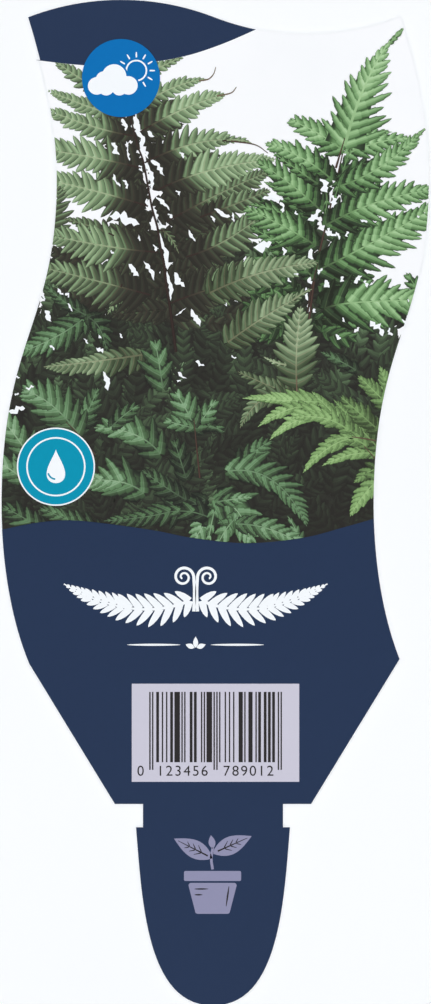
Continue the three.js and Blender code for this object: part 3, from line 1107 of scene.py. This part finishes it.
LOW_GLIMPSES = (
    (37.5, 68.8, -25, 1.9, 0.76), (34.1, 71.1, -35, 2.1, 0.76), (43.9, 67.5, -30, 1.1, 0.57),
    (22.6, 63.5, -60, 1.1, 0.47), (33.5, 72, -20, 0.9, 0.38), (8.8, 59.8, -60, 2.5, 0.95),
    (11.1, 55.2, -50, 1.7, 0.57), (12.5, 55.8, -50, 1.1, 0.66), (13, 58.1, -60, 1.9, 0.47),
    (7.9, 56.2, -70, 1.3, 0.47), (19.8, 72, -75, 3.8, 0.95), (18.6, 66.2, -40, 1.7, 0.76),
    (9.6, 65.7, -40, 1.3, 0.57), (5.4, 73.3, 10, 1.7, 0.76), (2.9, 74.5, 0, 0.9, 0.57),
    (2.9, 77.5, 10, 3.2, 1.13), (3.1, 71.3, -20, 0.8, 0.45), (16, 64.5, -50, 1.3, 0.38),
    (18.6, 63.7, -50, 0.9, 0.38),
)

# The undergrowth's upper reach from left to right, and the upper edge of its solid shade.
CROWN = smooth_path((
    (-0.3, 62.0), (4.0, 57.0), (8.5, 50.5), (14.8, 47.0), (22.4, 46.0), (31.8, 40.0), (37.0, 36.5),
    (44.0, 36.0), (50.0, 40.0), (56.0, 46.0), (62.0, 50.0), (67.0, 52.0), (71.0, 57.0),
    (75.0, 61.5), (80.0, 62.5),
), 60)
GROUND_EDGE = (
    (-1.4, 79.0), (2.4, 73.0), (5.4, 67.5), (8.8, 62.5), (12.8, 61.0), (16.5, 68.0), (22.4, 71.0),
    (29.6, 70.4), (35.0, 63.2), (42.2, 62.2), (49.8, 62.6), (56.4, 62.0), (64.9, 66.0), (72.5, 68.0),
    (77.2, 69.0),
)


def arched(x, y, angle, length, bend):
    """The foot, middle and tip, as print positions, of a bent midrib that leaves its foot at an
    angle in degrees. The print's heights run down, so the angle is turned over."""
    foot = np.array((x, y))
    forward = way(-angle)
    middle = foot + forward * length / 2 - left_of(forward) * bend
    tip = foot + forward * length
    return (x, y, *middle.tolist(), *tip.tolist())


def hill(x, y):
    """Where the undergrowth catches light: soft patches between 0 and 1 with dark pockets. Two
    bent waves, about 15 mm long across the print and 17 mm down it, make them where they meet."""
    across = math.sin(0.42 * x + 0.9 * math.sin(0.21 * y))
    down = math.sin(0.37 * y + 1.1 * math.sin(0.16 * x) + 0.8)
    return (0.5 + 0.5 * across * down) ** 1.6


# Dark hollows in the undergrowth: where they are in the print, how wide, how high and how dark.
HOLLOWS = ((64, 96, 11, 13, 0.85), (55, 81, 8, 5, 0.8), (38, 70, 4, 4, 0.6), (50, 95.5, 3.5, 3, 0.7))

# What chance chooses for each leaf of the undergrowth, in this order: its foot's print position,
# its angle in degrees, its length and bend, its leaflets' reach and their spacing. Each is thrown
# between two bounds. Its light is a least share, and more where the patches are.
UNDERGROWTH = ((0, 79), (40, 103), (15, 165), (9, 16), (-1.5, 1.5), (2.4, 3.6), (1.2, 1.7))
LEAST_LIGHT = 0.35
PATCH_LIGHT = 1.1


def undergrowth(count, dice, dimmest, brightest):
    """Dim leaves thrown by a rule below the crown line, in patches, darkest in the hollows."""
    rows = []
    while len(rows) < count:
        *spot, reach, spacing = (dice.uniform(*bounds) for bounds in UNDERGROWTH)
        foot, gain = (dice.uniform(dimmest, brightest) for _ in range(2))
        spot = arched(*spot)
        if spot[5] < np.interp(spot[4], CROWN[:, 0], CROWN[:, 1]):
            continue
        light = LEAST_LIGHT + PATCH_LIGHT * hill(spot[2], spot[3])
        for x, y, wide, high, depth in HOLLOWS:
            far = ((spot[2] - x) / wide) ** 2 + ((spot[3] - y) / high) ** 2
            light *= 1 - depth * math.exp(-far)
        rows.append((*spot, reach, reach, spacing, foot * light, (foot + gain) * light))
    return rows


# A thicket opens from this share of its spread at its top, by all of it in so many millimetres down.
# Its leaves start at least a step away from the stem. Chance tilts, bends and sizes each between
# two bounds, and each leaf's tone at its foot is a share of that at its tip.
THICKET_TOP = 0.2
THICKET_OPENING = 9
THICKET_STEP = 1.0
THICKET_TILT = (-20, 50)
THICKET_BEND = (-1, 1)
THICKET_SIZE = (0.8, 1.2)
THICKET_SPACING = 1.5
THICKET_FOOT = 0.6


def thicket(stem, first, last, spread, count, length, reach, tones, dice):
    """Dim leaves thrown by a rule beside a stem, between two heights of the print, pointing away
    from it. spread is how far from it they start on its left and on its right, less at its top."""
    path = smooth_path(stem[3:], 60)
    rows = []
    for _ in range(count):
        right = bool(dice.integers(2))
        y = dice.uniform(first, last)
        x = np.interp(-y, -path[:, 1], path[:, 0])
        opening = min(1.0, THICKET_TOP + (y - first) / THICKET_OPENING)
        far = THICKET_STEP + spread[right] * opening * dice.uniform()
        tilt = dice.uniform(*THICKET_TILT)
        bend = dice.uniform(*THICKET_BEND)
        angle = tilt if right else 180 - tilt
        spot = arched(x + far if right else x - far, y, angle, dice.uniform(*length), bend)
        size = reach * dice.uniform(*THICKET_SIZE)
        tone = dice.uniform(*tones)
        rows.append((*spot, size, size, THICKET_SPACING, tone * THICKET_FOOT, tone))
    return rows


# The picture's inks, one for each kind of leaf: the ink's name, its blade's colours and its rib's
# from deep shade to full light, how strong a leaflet's relief is and how much its vein shows.
LEAF_INKS = {
    "tall": ("grey_green_leaf_ink", (
        (0.0, "2f2e29"), (0.2, "3d3f35"), (0.4, "505f47"), (0.6, "77916c"), (0.8, "9bb68d"),
        (1.0, "bed1af"),
    ), ((0.0, "3a302d"), (0.35, "604c42"), (0.65, "a9a98c"), (1.0, "c5c8a9")), 0.55, 0.4),
    "bright": ("bright_green_leaf_ink", (
        (0.0, "262b22"), (0.2, "354432"), (0.38, "4e6f45"), (0.56, "759c6a"), (0.76, "9cc18e"),
        (1.0, "c0dbb1"),
    ), ((0.0, "3d4433"), (0.45, "83a873"), (0.7, "a9cb98"), (1.0, "c9e2ba")), 0.5, 0.5),
    "lower": ("deep_green_leaf_ink", (
        (0.0, "262925"), (0.2, "343d31"), (0.4, "4a6345"), (0.6, "648760"), (0.8, "86a884"),
        (1.0, "a8c4a4"),
    ), ((0.0, "343a31"), (0.45, "7b9a77"), (0.7, "a3c09c"), (1.0, "c6dabc")), 0.5, 0.55),
    "lime": ("lime_green_leaf_ink", (
        (0.0, "2a3022"), (0.25, "445438"), (0.5, "6f8f5a"), (0.7, "8db073"), (0.88, "a6c98c"),
        (1.0, "c1dfa7"),
    ), ((0.0, "4c5c3c"), (0.5, "98bb7c"), (1.0, "cbe6b0")), 0.34, 0.5),
    "narrow": ("silver_leaf_ink", (
        (0.0, "2c2b26"), (0.25, "43503a"), (0.5, "64785a"), (0.7, "8aa07c"), (0.88, "abbf9c"),
        (1.0, "c8d6b9"),
    ), ((0.0, "4a3d36"), (0.5, "978f73"), (1.0, "cfd0b4")), 0.5, 0.4),
    "shade": ("undergrowth_leaf_ink", (
        (0.0, "2b2a27"), (0.3, "363c32"), (0.6, "485842"), (0.85, "617a5a"), (1.0, "7f9a78"),
    ), ((0.0, "2f2b29"), (0.5, "53654c"), (1.0, "8fa383")), 0.5, 0.4),
    "stem": ("stem_ink", (
        (0.0, "2a2322"), (0.3, "463631"), (0.55, "6b5548"), (0.75, "8f9475"), (1.0, "b9c9a0"),
    ), ((0.0, "3a2f2d"), (0.4, "6a5348"), (0.7, "a9ad8a"), (1.0, "d2dcb8")), 0.2, 0.7),
}

# A leaf's web joins the feet of its leaflets. It is a strip just under them, as broad as a share
# of their reach and darker by a tone. Its midrib is a strip just over them, a little lighter, that
# tapers by a share. It takes its colours from the vein's narrow part of the chart.
WEB = 0.5
WEB_SHADE = 0.22
WEB_DROP = 0.5
MIDRIB_TAPER = 0.7
MIDRIB_LIGHT = 0.05
MIDRIB_RISE = 0.4
VEIN_BREADTH = 0.05
LEAF_STATIONS = 15


def print_family(
    piece, rows, pair, ink, first, depth, lean, fullness, glow,
    form=lance, step=1.0, bare=0.0, dawn=DAWN, rib=0.0,
):
    """Prints the leaves of one family, each with its leaflets, the web that joins their feet and,
    where rib gives its half width, its midrib. The leaves take turns in the depth layers over the
    first one, a step apart, so that neighbours don't lie in one plane."""
    sprays = [
        Spray(row, first + 1 + i * step % depth, form, bare, dawn) for i, row in enumerate(rows)
    ]
    mesh = grow(sprays, pair, ink, lean, fullness)
    corners = len(pair[0].data.vertices)
    toothed = corners == ROW_CORNERS * len(TOOTHED_ROWS)
    leaflets_film(piece, mesh, corners, ink, glow, True, lobed=toothed)
    strips = []
    for s in sprays:
        share = np.linspace(bare, 1, LEAF_STATIONS)
        reach = (s.reach_at(share, "left") + s.reach_at(share, "right")) / 2
        tones = s.tone_at(share) - WEB_SHADE
        strips.append((s.path_at(share), reach * WEB, tones, s.layer - WEB_DROP, 1.0))
        if rib:
            share = np.linspace(0, 1, LEAF_STATIONS)
            half = rib * (1 - MIDRIB_TAPER * share) * MM
            tones = s.tone_at(share) + MIDRIB_LIGHT
            strips.append((s.path_at(share), half, tones, s.layer + MIDRIB_RISE, VEIN_BREADTH))
    ribbons(piece + "_midribs", strips, ink)
    return sprays


# A sliver has five corners along each margin and one more for every so many millimetres. Chance
# throws each one to a share of the sliver's half width between two bounds.
GLIMPSE_CORNERS = 5
GLIMPSE_STEP = 0.8
RAGGED = (0.15, 1.5)


def glimpse(x, y, angle, length, width, dice):
    """A ragged sliver about a print position: bare sheet seen between leaflets."""
    count = GLIMPSE_CORNERS + round(length / GLIMPSE_STEP)
    share = np.linspace(0, 1, count)
    half = width / 2 * np.sin(math.pi * share) ** 0.6
    forward = way(angle)
    sway = width / 5 * np.sin(2 * math.pi * share + dice.uniform(0, 6))
    axis = straight(at(x, y), forward, (share - 0.5) * length)
    axis += np.outer(sway * MM, left_of(forward))
    upper = half * dice.uniform(*RAGGED, count)
    lower = half * dice.uniform(*RAGGED, count)
    return sliver(axis, forward, upper, lower)


def glimpses(piece, table, white, dice, layer):
    """Prints a table of slivers of bare sheet over the leaves."""
    film(piece, [glimpse(*row, dice) for row in table], layer, white)


# A stem tapers towards its tip by this share, and is drawn in so many steps.
STEM_TAPER = 0.6
STEM_STEPS = 40

# Each leaf of the tall frond has a stalk, which covers this share of its midrib from the foot.
# Neighbouring stalks take turns in a few small steps over their first layer.
STALK_SHARE = 0.14
STALK_HALF_WIDTH = 0.14
STALK_TONE = 0.1
STALK_LAYER = 16.8
STALK_STEP = 0.1
STALK_TURNS = 4
STALK_STATIONS = 8


def print_stems(tall, ink):
    """The stems of all fronds, and the stalks of the tall frond's leaves."""
    strips = []
    for width, tone, layer, *stations in STEMS:
        share = np.linspace(0, 1, STEM_STEPS + 1)
        path = smooth_path([at(*p) for p in stations], STEM_STEPS)
        half = (1 - STEM_TAPER * share) * width / 2 * MM
        strips.append((path, half, np.full(len(path), tone), layer, 1.0))
    share = np.linspace(0, STALK_SHARE, STALK_STATIONS)
    half = np.full(STALK_STATIONS, STALK_HALF_WIDTH * MM)
    tones = np.full(STALK_STATIONS, STALK_TONE)
    for i, spray in enumerate(tall):
        layer = STALK_LAYER + STALK_STEP * (i % STALK_TURNS)
        strips.append((spray.path_at(share), half, tones, layer, 1.0))
    ribbons("stems", strips, ink)


def thrown_leaves(dice):
    """All leaves that are thrown by a rule: the undergrowth's two layers and the two thickets."""
    back = undergrowth(190, dice, dimmest=0.06, brightest=0.26)
    front = undergrowth(190, dice, dimmest=0.1, brightest=0.34)
    tall_shade = thicket(
        TALL_STEM, first=27, last=62, spread=(3.5, 14), count=90, length=(5, 7), reach=2.2,
        tones=(0.04, 0.26), dice=dice,
    )
    bright_shade = thicket(
        BRIGHT_STEM, first=33, last=64, spread=(6, 2.5), count=60, length=(5, 8), reach=2.6,
        tones=(0.16, 0.36), dice=dice,
    )
    return back, front, tall_shade, bright_shade


def fern_picture(white):
    """All ferns, from the undergrowth at the back to the stems at the front."""
    few = leaflet_pair("few", FEW_ROWS, plain_margin, sweep=0.4)
    plain = leaflet_pair("plain", PLAIN_ROWS, plain_margin, sweep=0.45)
    toothed = leaflet_pair("toothed", TOOTHED_ROWS, toothed_margin, sweep=0.4)
    inks = {kind: leaf_ink(*recipe) for kind, recipe in LEAF_INKS.items()}
    dice = np.random.default_rng(SEED)
    back, front, tall_shade, bright_shade = thrown_leaves(dice)

    shaded = {"depth": 3, "step": 0.23, "fullness": 1.05, "glow": 0.1}
    print_family("undergrowth_back", back, few, inks["shade"], first=2, lean=66, **shaded)
    print_family("undergrowth_front", front, few, inks["shade"], first=5, lean=66, **shaded)
    print_family("tall_frond_shade", tall_shade, few, inks["tall"], first=8, lean=70, **shaded)
    print_family(
        "tall_frond_inner", TALL_SHADE, few, inks["tall"], first=11, depth=1, step=0.05,
        lean=70, fullness=1.1, glow=0.1,
    )
    tall = print_family(
        "tall_frond", TALL_FROND, plain, inks["tall"], first=12, depth=4,
        lean=76, fullness=1.1, glow=0.06, bare=0.06, dawn=(0.14, 0.42), rib=0.17,
    )
    glimpses("tall_glimpses", TALL_GLIMPSES, white, dice, layer=16.6)
    print_family("bright_frond_shade", bright_shade, few, inks["bright"], first=17, lean=64, **shaded)
    print_family(
        "bright_frond", BRIGHT_FROND, toothed, inks["bright"], first=20, depth=5,
        lean=60, fullness=0.88, glow=-0.2, form=broad, dawn=(0.08, 0.42), rib=0.17,
    )
    print_family(
        "bright_frond_tip", BRIGHT_TIP, toothed, inks["bright"], first=25, depth=1,
        lean=60, fullness=0.82, glow=-0.16, form=wedge, rib=0.3,
    )
    glimpses("bright_glimpses", BRIGHT_GLIMPSES, white, dice, layer=26.6)
    print_family(
        "narrow_leaves", NARROW_LEAVES, plain, inks["narrow"], first=27, depth=3,
        lean=74, fullness=1.16, glow=0.06, rib=0.16,
    )
    print_family(
        "lower_leaves", LOWER_LEAVES, toothed, inks["lower"], first=30, depth=8,
        lean=58, fullness=1.0, glow=-0.16, rib=0.14,
    )
    print_family(
        "lime_frond", LIME_FROND, toothed, inks["lime"], first=38, depth=4,
        lean=58, fullness=1.08, glow=-0.1, rib=0.15,
    )
    glimpses("low_glimpses", LOW_GLIMPSES, white, dice, layer=38.6)
    print_stems(tall, inks["stem"])
    remove(few + plain + toothed)


# How far the solid shade reaches in under the blue field.
GROUND_OVERLAP = 0.3 * MM


def ground(ink):
    """The solid shade behind the undergrowth, down to just below the wave, under the field."""
    edge = smooth_path([at(*p) for p in GROUND_EDGE], 90)
    bounds = [(side_at(y, True) + INSET, side_at(y, False) - INSET) for _, y in edge]
    edge = np.array([p for p, (low, high) in zip(edge, bounds) if low < p[0] < high])
    wave_height = WAVE[len(WAVE) // 2][1]
    heights = np.linspace(0, 1, 12)[1:]
    sides = []
    for end, left, inset in ((edge[0], True, INSET), (edge[-1], False, -INSET)):
        nearest = np.argmin(abs(WAVE[:, 0] - side_at(wave_height, left)))
        foot = WAVE[nearest][1] - GROUND_OVERLAP
        sides.append([(side_at(h, left) + inset, h) for h in end[1] + heights * (foot - end[1])])
    left, right = sides
    low = [(x, y - GROUND_OVERLAP) for x, y in WAVE if left[-1][0] < x < right[-1][0]]
    loop = np.vstack([edge, right, low[::-1], left[::-1]])
    film("ground_shade", [filled(loop)], GROUND_LAYER, ink)


# ---------------------------------------------------------------- marks on the print

def bumpy(x, y, bumps, more=0.0, count=120):
    """The outline of a union of round bumps about a print position, seen from there. more makes
    every bump's radius larger."""
    loop = []
    for angle in np.linspace(0, 360, count, endpoint=False):
        ray = way(angle)
        reach = 0.0
        for bx, by, radius in bumps:
            centre = np.array((bx, -by))
            near = ray @ centre
            gap = (radius + more) ** 2 - centre @ centre + near**2
            if gap > 0:
                reach = max(reach, near + math.sqrt(gap))
        loop.append(at(x, y) + ray * reach * MM)
    return filled(loop)


# Each bump of the cloud: its centre, right of and below the cloud's own, and its radius.
CLOUD = (
    (-3.0, 0.7, 1.65), (-1.5, -0.4, 1.7), (0.3, -1.1, 2.3),
    (3.0, 0.6, 1.75), (-1.2, 1.0, 1.5), (1.3, 1.0, 1.5),
)


def half_shade_mark(blue, white):
    """A round blue mark with a cloud before a sun: the common sign for half shade."""
    x, y, radius = 22.6, 14.8, 7.37
    film("shade_disc", [filled(circle(x, y, radius))], DISC_LAYER, blue)
    sun = (x + 2.9, y - 1.4)
    rays = []
    for angle in range(-60, 151, 30):
        path = straight(at(*sun), way(angle), np.linspace(2.5, 3.5, 3))
        rays.append(stroke(path, (0.26, 0.3, 0.2)))
    film("shade_sun", [ring(*sun, 2.05, 1.75), *rays], GAP_LAYER, white)
    cloud = (x - 1.6, y + 0.8, CLOUD)
    film("shade_gap", [bumpy(*cloud, more=0.35)], MARK_LAYER, blue)
    film("shade_cloud", [bumpy(*cloud)], DETAIL_LAYER, white)


# A drop is an ellipse drawn in towards its upper end by this power, and made broader again.
DROP_POINT = 0.85
DROP_BREADTH = 1.12


def drop(x, y, height, width):
    """A water drop about a print position: round below and pointed above."""
    cx, cy = at(x, y)
    turn = np.linspace(0, 2 * math.pi, 48, endpoint=False)
    drawn_in = ((1 - np.cos(turn)) / 2) ** DROP_POINT
    across = width / 2 * DROP_BREADTH * np.sin(turn) * drawn_in
    up = height / 2 * np.cos(turn)
    return filled(np.stack([cx + across * MM, cy + up * MM], 1))


def water_badge(teal, white):
    """A round teal badge with a thin ring and a water drop."""
    x, y, radius, rim = 10.3, 88.25, 7.39, 0.26
    film("badge_rim", [filled(circle(x, y, radius))], DISC_LAYER, white)
    film("badge_disc", [filled(circle(x, y, radius - rim))], GAP_LAYER, teal)
    signs = [ring(x, y, 5.6, 5.3), drop(x, y - 0.1, 6.4, 4.6)]
    film("badge_signs", signs, MARK_LAYER, white)
    shine = stroke(arc(x, y + 0.85, 1.5, np.linspace(195, 265, 13)), 0.32)
    film("badge_shine", [shine], DETAIL_LAYER, teal)


# A bar code spells a digit by four runs of modules, light first on its left half.
LEFT_CODES = ("3211", "2221", "2122", "1411", "1132", "1231", "1114", "1312", "1213", "3112")
DIGITS = "0123456789012"
CODE_PANEL = (24.63, 129.26, 56.28, 147.8)
CODE_LEFT, CODE_TOP, CODE_WIDTH = 27.93, 130.8, 25.08
BAR_HEIGHT, GUARD_HEIGHT = 13.3, 14.75
MODULE = CODE_WIDTH / 95

# The digits' middles, their size and how far their baseline is below the top of the bars.
DIGIT_CENTRES = (26.3, *np.linspace(30.05, 38.4, 6), *np.linspace(42.6, 50.8, 6))
DIGIT_SIZE = 2.75
DIGIT_DROP = 15.85


def bar_code(panel_ink, black):
    """A bar code of plain counting digits, on its pale panel."""
    film("code_panel", [box(*CODE_PANEL)], PANEL_LAYER, panel_ink)
    bars = []
    place = 0

    def run(widths, dark, height):
        nonlocal place
        for width in widths:
            if dark:
                left = CODE_LEFT + place * MODULE
                bars.append(box(left, CODE_TOP, left + int(width) * MODULE, CODE_TOP + height))
            place += int(width)
            dark = not dark

    run("111", True, GUARD_HEIGHT)
    for digit in DIGITS[1:7]:
        run(LEFT_CODES[int(digit)], False, BAR_HEIGHT)
    run("11111", False, GUARD_HEIGHT)
    for digit in DIGITS[7:]:
        run(LEFT_CODES[int(digit)], True, BAR_HEIGHT)
    run("111", True, GUARD_HEIGHT)
    film("code_bars", bars, PRINT_LAYER, black)
    baseline = CODE_TOP + DIGIT_DROP
    digits = [glyph(digit, x, baseline, DIGIT_SIZE) for digit, x in zip(DIGITS, DIGIT_CENTRES)]
    film("code_digits", digits, PRINT_LAYER, black)


def glyph(text, x, baseline, size):
    """A character of the plain built-in letters as a patch, centred on x over a baseline."""
    curve = bpy.data.curves.new("glyph", "FONT")
    curve.body = text
    curve.size = size * MM
    letter = shown("glyph", curve)
    mesh = evaluated_mesh(letter)
    remove([letter])
    welded = bmesh.new()
    welded.from_mesh(mesh)
    bmesh.ops.remove_doubles(welded, verts=welded.verts, dist=MM / 1000)
    welded.normal_update()
    flat = np.array([v.co[:2] for v in welded.verts])
    faces = []
    for face in welded.faces:
        corners = [v.index for v in face.verts]
        faces.append(tuple(corners if face.normal.z > 0 else reversed(corners)))
    welded.free()
    bpy.data.meshes.remove(mesh)
    cx, cy = at(x, baseline)
    middle = (flat[:, 0].min() + flat[:, 0].max()) / 2
    return flat + (cx - middle, cy), faces


# Middle of the panel's ornaments, between their left and right halves.
ORNAMENT_X = 36.7


def curled_frond(side):
    """A curled young frond on the left (-1) or the right (1), wound in towards its own middle."""
    turn = np.linspace(0, 3.3 * math.pi, 70)
    radius = (1.95 - 0.155 * turn) * MM
    cx, cy = at(ORNAMENT_X + side * 2.3, 109.1)
    curl = np.stack([cx - side * radius * np.cos(turn), cy + radius * np.sin(turn)], 1)
    foot, bend = at(ORNAMENT_X + side * 0.35, 115.6), at(ORNAMENT_X + side * 0.2, 112.0)
    path = np.vstack([smooth_path([foot, bend, curl[0]], 16)[:-1], curl])
    return stroke(path, np.linspace(0.62, 0.34, len(path)))


def title_ornament(white):
    """Two white fern sprigs that part from a pair of curled young fronds."""
    pair = leaflet_pair("ornament", TOOTHED_ROWS, plain_margin, sweep=0.3)
    share = np.linspace(0, 1, 31)
    tone = 0.5
    sprays = []
    stems = []
    for side in (-1, 1):
        foot, middle, tip = (ORNAMENT_X + side * x for x in (1.2, 12.4, 24.9))
        row = (foot, 113.6, middle, 115.0, tip, 110.4, 4.3, 4.3, 1.75, tone, tone)
        spray = Spray(row, PRINT_LAYER, lance)
        sprays.append(spray)
        half = (0.32 - 0.2 * share) * MM
        stems.append((spray.path_at(share), half, np.full(31, tone), PRINT_LAYER + 1, 1.0))
    curls = [curled_frond(side) for side in (-1, 1)]
    mesh = grow(sprays, pair, white, lean=60, fullness=0.72, unevenness=0.0, spread=0.0)
    corners = len(pair[0].data.vertices)
    leaflets_film("title_sprigs", mesh, corners, white, 0.0, False)
    ribbons("title_stems", stems, white, bounded=False)
    film("title_curls", curls, PRINT_LAYER + 2, white)
    remove(pair)


def subtitle_ornament(white):
    """Two tapering rules on either side of three small leaves."""
    y = 121.9
    widths = 0.06 + 0.34 * np.sin(np.linspace(0, math.pi, 17)) ** 0.6
    patches = []
    for side in (-1, 1):
        path = [at(ORNAMENT_X + side * x, y) for x in np.linspace(2.9, 12.9, 17)]
        patches.append(stroke(path[::side], widths))
    for angle, length in ((90, 2.1), (20, 1.8), (160, 1.8)):
        foot = ORNAMENT_X + 0.22 * way(angle)[0]
        patches.append(lens(foot, y + 0.55, angle, length, 0.95))
    film("subtitle_rules", patches, PRINT_LAYER, white)


def rounded(left, top, right, bottom, narrowing, radius):
    """A patch with round corners whose sides come in by narrowing towards the bottom."""
    corners = (
        (left + narrowing + radius, bottom - radius, 180),
        (right - narrowing - radius, bottom - radius, 270),
        (right - radius, top + radius, 0),
        (left + radius, top + radius, 90),
    )
    return filled(np.vstack([
        arc(x, y, radius, np.linspace(start, start + 90, 7)) for x, y, start in corners
    ]))


def leaf_lines(x, y, angle, length):
    """The dark midrib of an emblem's leaf from its foot, and three pairs of veins along it."""
    share = np.linspace(0, 1, 9)
    foot, forward = at(x, y), way(angle)
    lines = [stroke(straight(foot, forward, share * length), 0.3 - 0.2 * share)]
    for place in (0.2, 0.4, 0.6):
        for side in (-1, 1):
            vein = way(angle + side * 38)
            root = foot + place * length * MM * forward + 0.22 * MM * vein
            path = straight(root, vein, np.linspace(0, (1.3 - place) * 1.25, 4))
            lines.append(stroke(path, (0.2, 0.18, 0.14, 0.08)))
    return lines


def brush_line(path, width):
    """A line that swells to its width in the middle and thins out at both ends."""
    return stroke(path, width * np.sin(np.linspace(0.25, math.pi - 0.15, len(path))) + 0.04)


def pot_emblem(lavender, black):
    """A seedling in a flowerpot, in one pale ink with dark line work."""
    x, soil = 39.9, 164.65
    rim = rounded(x - 5.4, soil, x + 5.4, soil + 1.9, 0.0, 0.3)
    body = rounded(x - 4.55, soil + 2.25, x + 4.55, soil + 8.1, 1.25, 0.5)
    spine = [at(x, soil - 0.3), at(x - 0.25, soil - 2.4), at(x + 0.05, soil - 4.4)]
    stem = stroke(smooth_path(spine, 12), 0.5)
    leaves = [
        lens(x, soil - 2.4, 153, 8.2, 3.4),
        lens(x, soil - 3.3, 24, 8.1, 3.4),
        lens(x + 0.05, soil - 4.2, 98, 2.6, 1.3),
    ]
    film("emblem_shapes", [rim, body, stem, *leaves], PANEL_LAYER, lavender)
    lines = leaf_lines(x - 0.9, soil - 2.85, 153, 6.3) + leaf_lines(x + 1.0, soil - 3.75, 24, 6.1)
    for height, width in ((3.4, 2.6), (4.5, 1.5)):
        path = [at(x - 3.4 + step, soil + height) for step in np.linspace(0, width, 7)]
        lines.append(brush_line(path, 0.24))
    edge = [at(x + 3.1 - 0.14 * step, soil + 2.9 + step) for step in np.linspace(0, 3.8, 7)]
    lines.append(brush_line(edge, 0.26))
    film("emblem_lines", lines, PRINT_LAYER, black)


# ---------------------------------------------------------------- camera and studio

def camera():
    """Straight above the label, with the print's top at the top of the frame. height is how much
    of the label's plane the frame shows from top to bottom."""
    height = 189.76 * MM
    data = bpy.data.cameras.new("camera")
    data.lens = 100.0
    data.sensor_width = 36.0
    data.dof.use_dof = False
    view = shown("camera", data)
    view.location = (0.06 * MM, 0.13 * MM, FACE + height * data.lens / data.sensor_width)
    bpy.context.scene.camera = view


def area_light(name, place, size, power):
    """A square soft light that faces the origin."""
    data = bpy.data.lights.new(name, "AREA")
    data.size = size
    data.energy = power
    light = shown(name, data)
    light.location = place
    light.rotation_euler = (-Vector(place)).to_track_quat("-Z", "Y").to_euler()


def pale_floor():
    """A wide disc that the label lies on."""
    shades = ((0.3, "f8fafc"), (0.7, "fafcfe"))
    material = clouded("pale_floor", {"scale": 8.0}, shades, 0.8, 0.1, grain=600.0, depth=0.01 * MM)
    reach, count = 3.0, 96
    turn = np.linspace(0, 2 * math.pi, count, endpoint=False)
    points = [(reach * math.cos(a), reach * math.sin(a), 0.0) for a in turn]
    mesh = closed_mesh("floor", points, [tuple(range(count))])
    mesh.materials.append(material)
    shown("floor", mesh)


def studio():
    """Even, soft light from four sides, as over a copy stand, and a plain pale floor."""
    reach, height, size, power = 0.9, 0.9, 0.8, 4.3
    for name, x, y in (("left", -1, 0), ("right", 1, 0), ("near", 0, -1), ("far", 0, 1)):
        area_light("light_" + name, (x * reach, y * reach, height), size, power)
    world = bpy.data.worlds.new("studio")
    world.use_nodes = True
    background = world.node_tree.nodes["Background"].inputs
    background["Color"].default_value = (0.97, 0.985, 1.0, 1.0)
    background["Strength"].default_value = 0.35
    bpy.context.scene.world = world
    bpy.context.scene.view_settings.view_transform = "Standard"
    pale_floor()


camera()
studio()
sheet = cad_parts["label"]
sheet.data.materials.clear()
sheet.data.materials.append(white_plastic())

navy = flat_ink("navy_ink", "253552")
blue = flat_ink("blue_ink", "006eb5")
teal = flat_ink("teal_ink", "0092b2")
white = flat_ink("white_ink", "f4f8fc", 0.01)
panel_grey = flat_ink("panel_ink", "cac8d7", 0.02)
lavender = flat_ink("lavender_ink", "8f8fad", 0.03)
black = flat_ink("black_ink", "2c2a2b", 0.04)

blue_field(navy)
top_band(navy)
ground(ground_ink())
fern_picture(white)
half_shade_mark(blue, white)
water_badge(teal, white)
title_ornament(white)
subtitle_ornament(white)
bar_code(panel_grey, black)
pot_emblem(lavender, black)
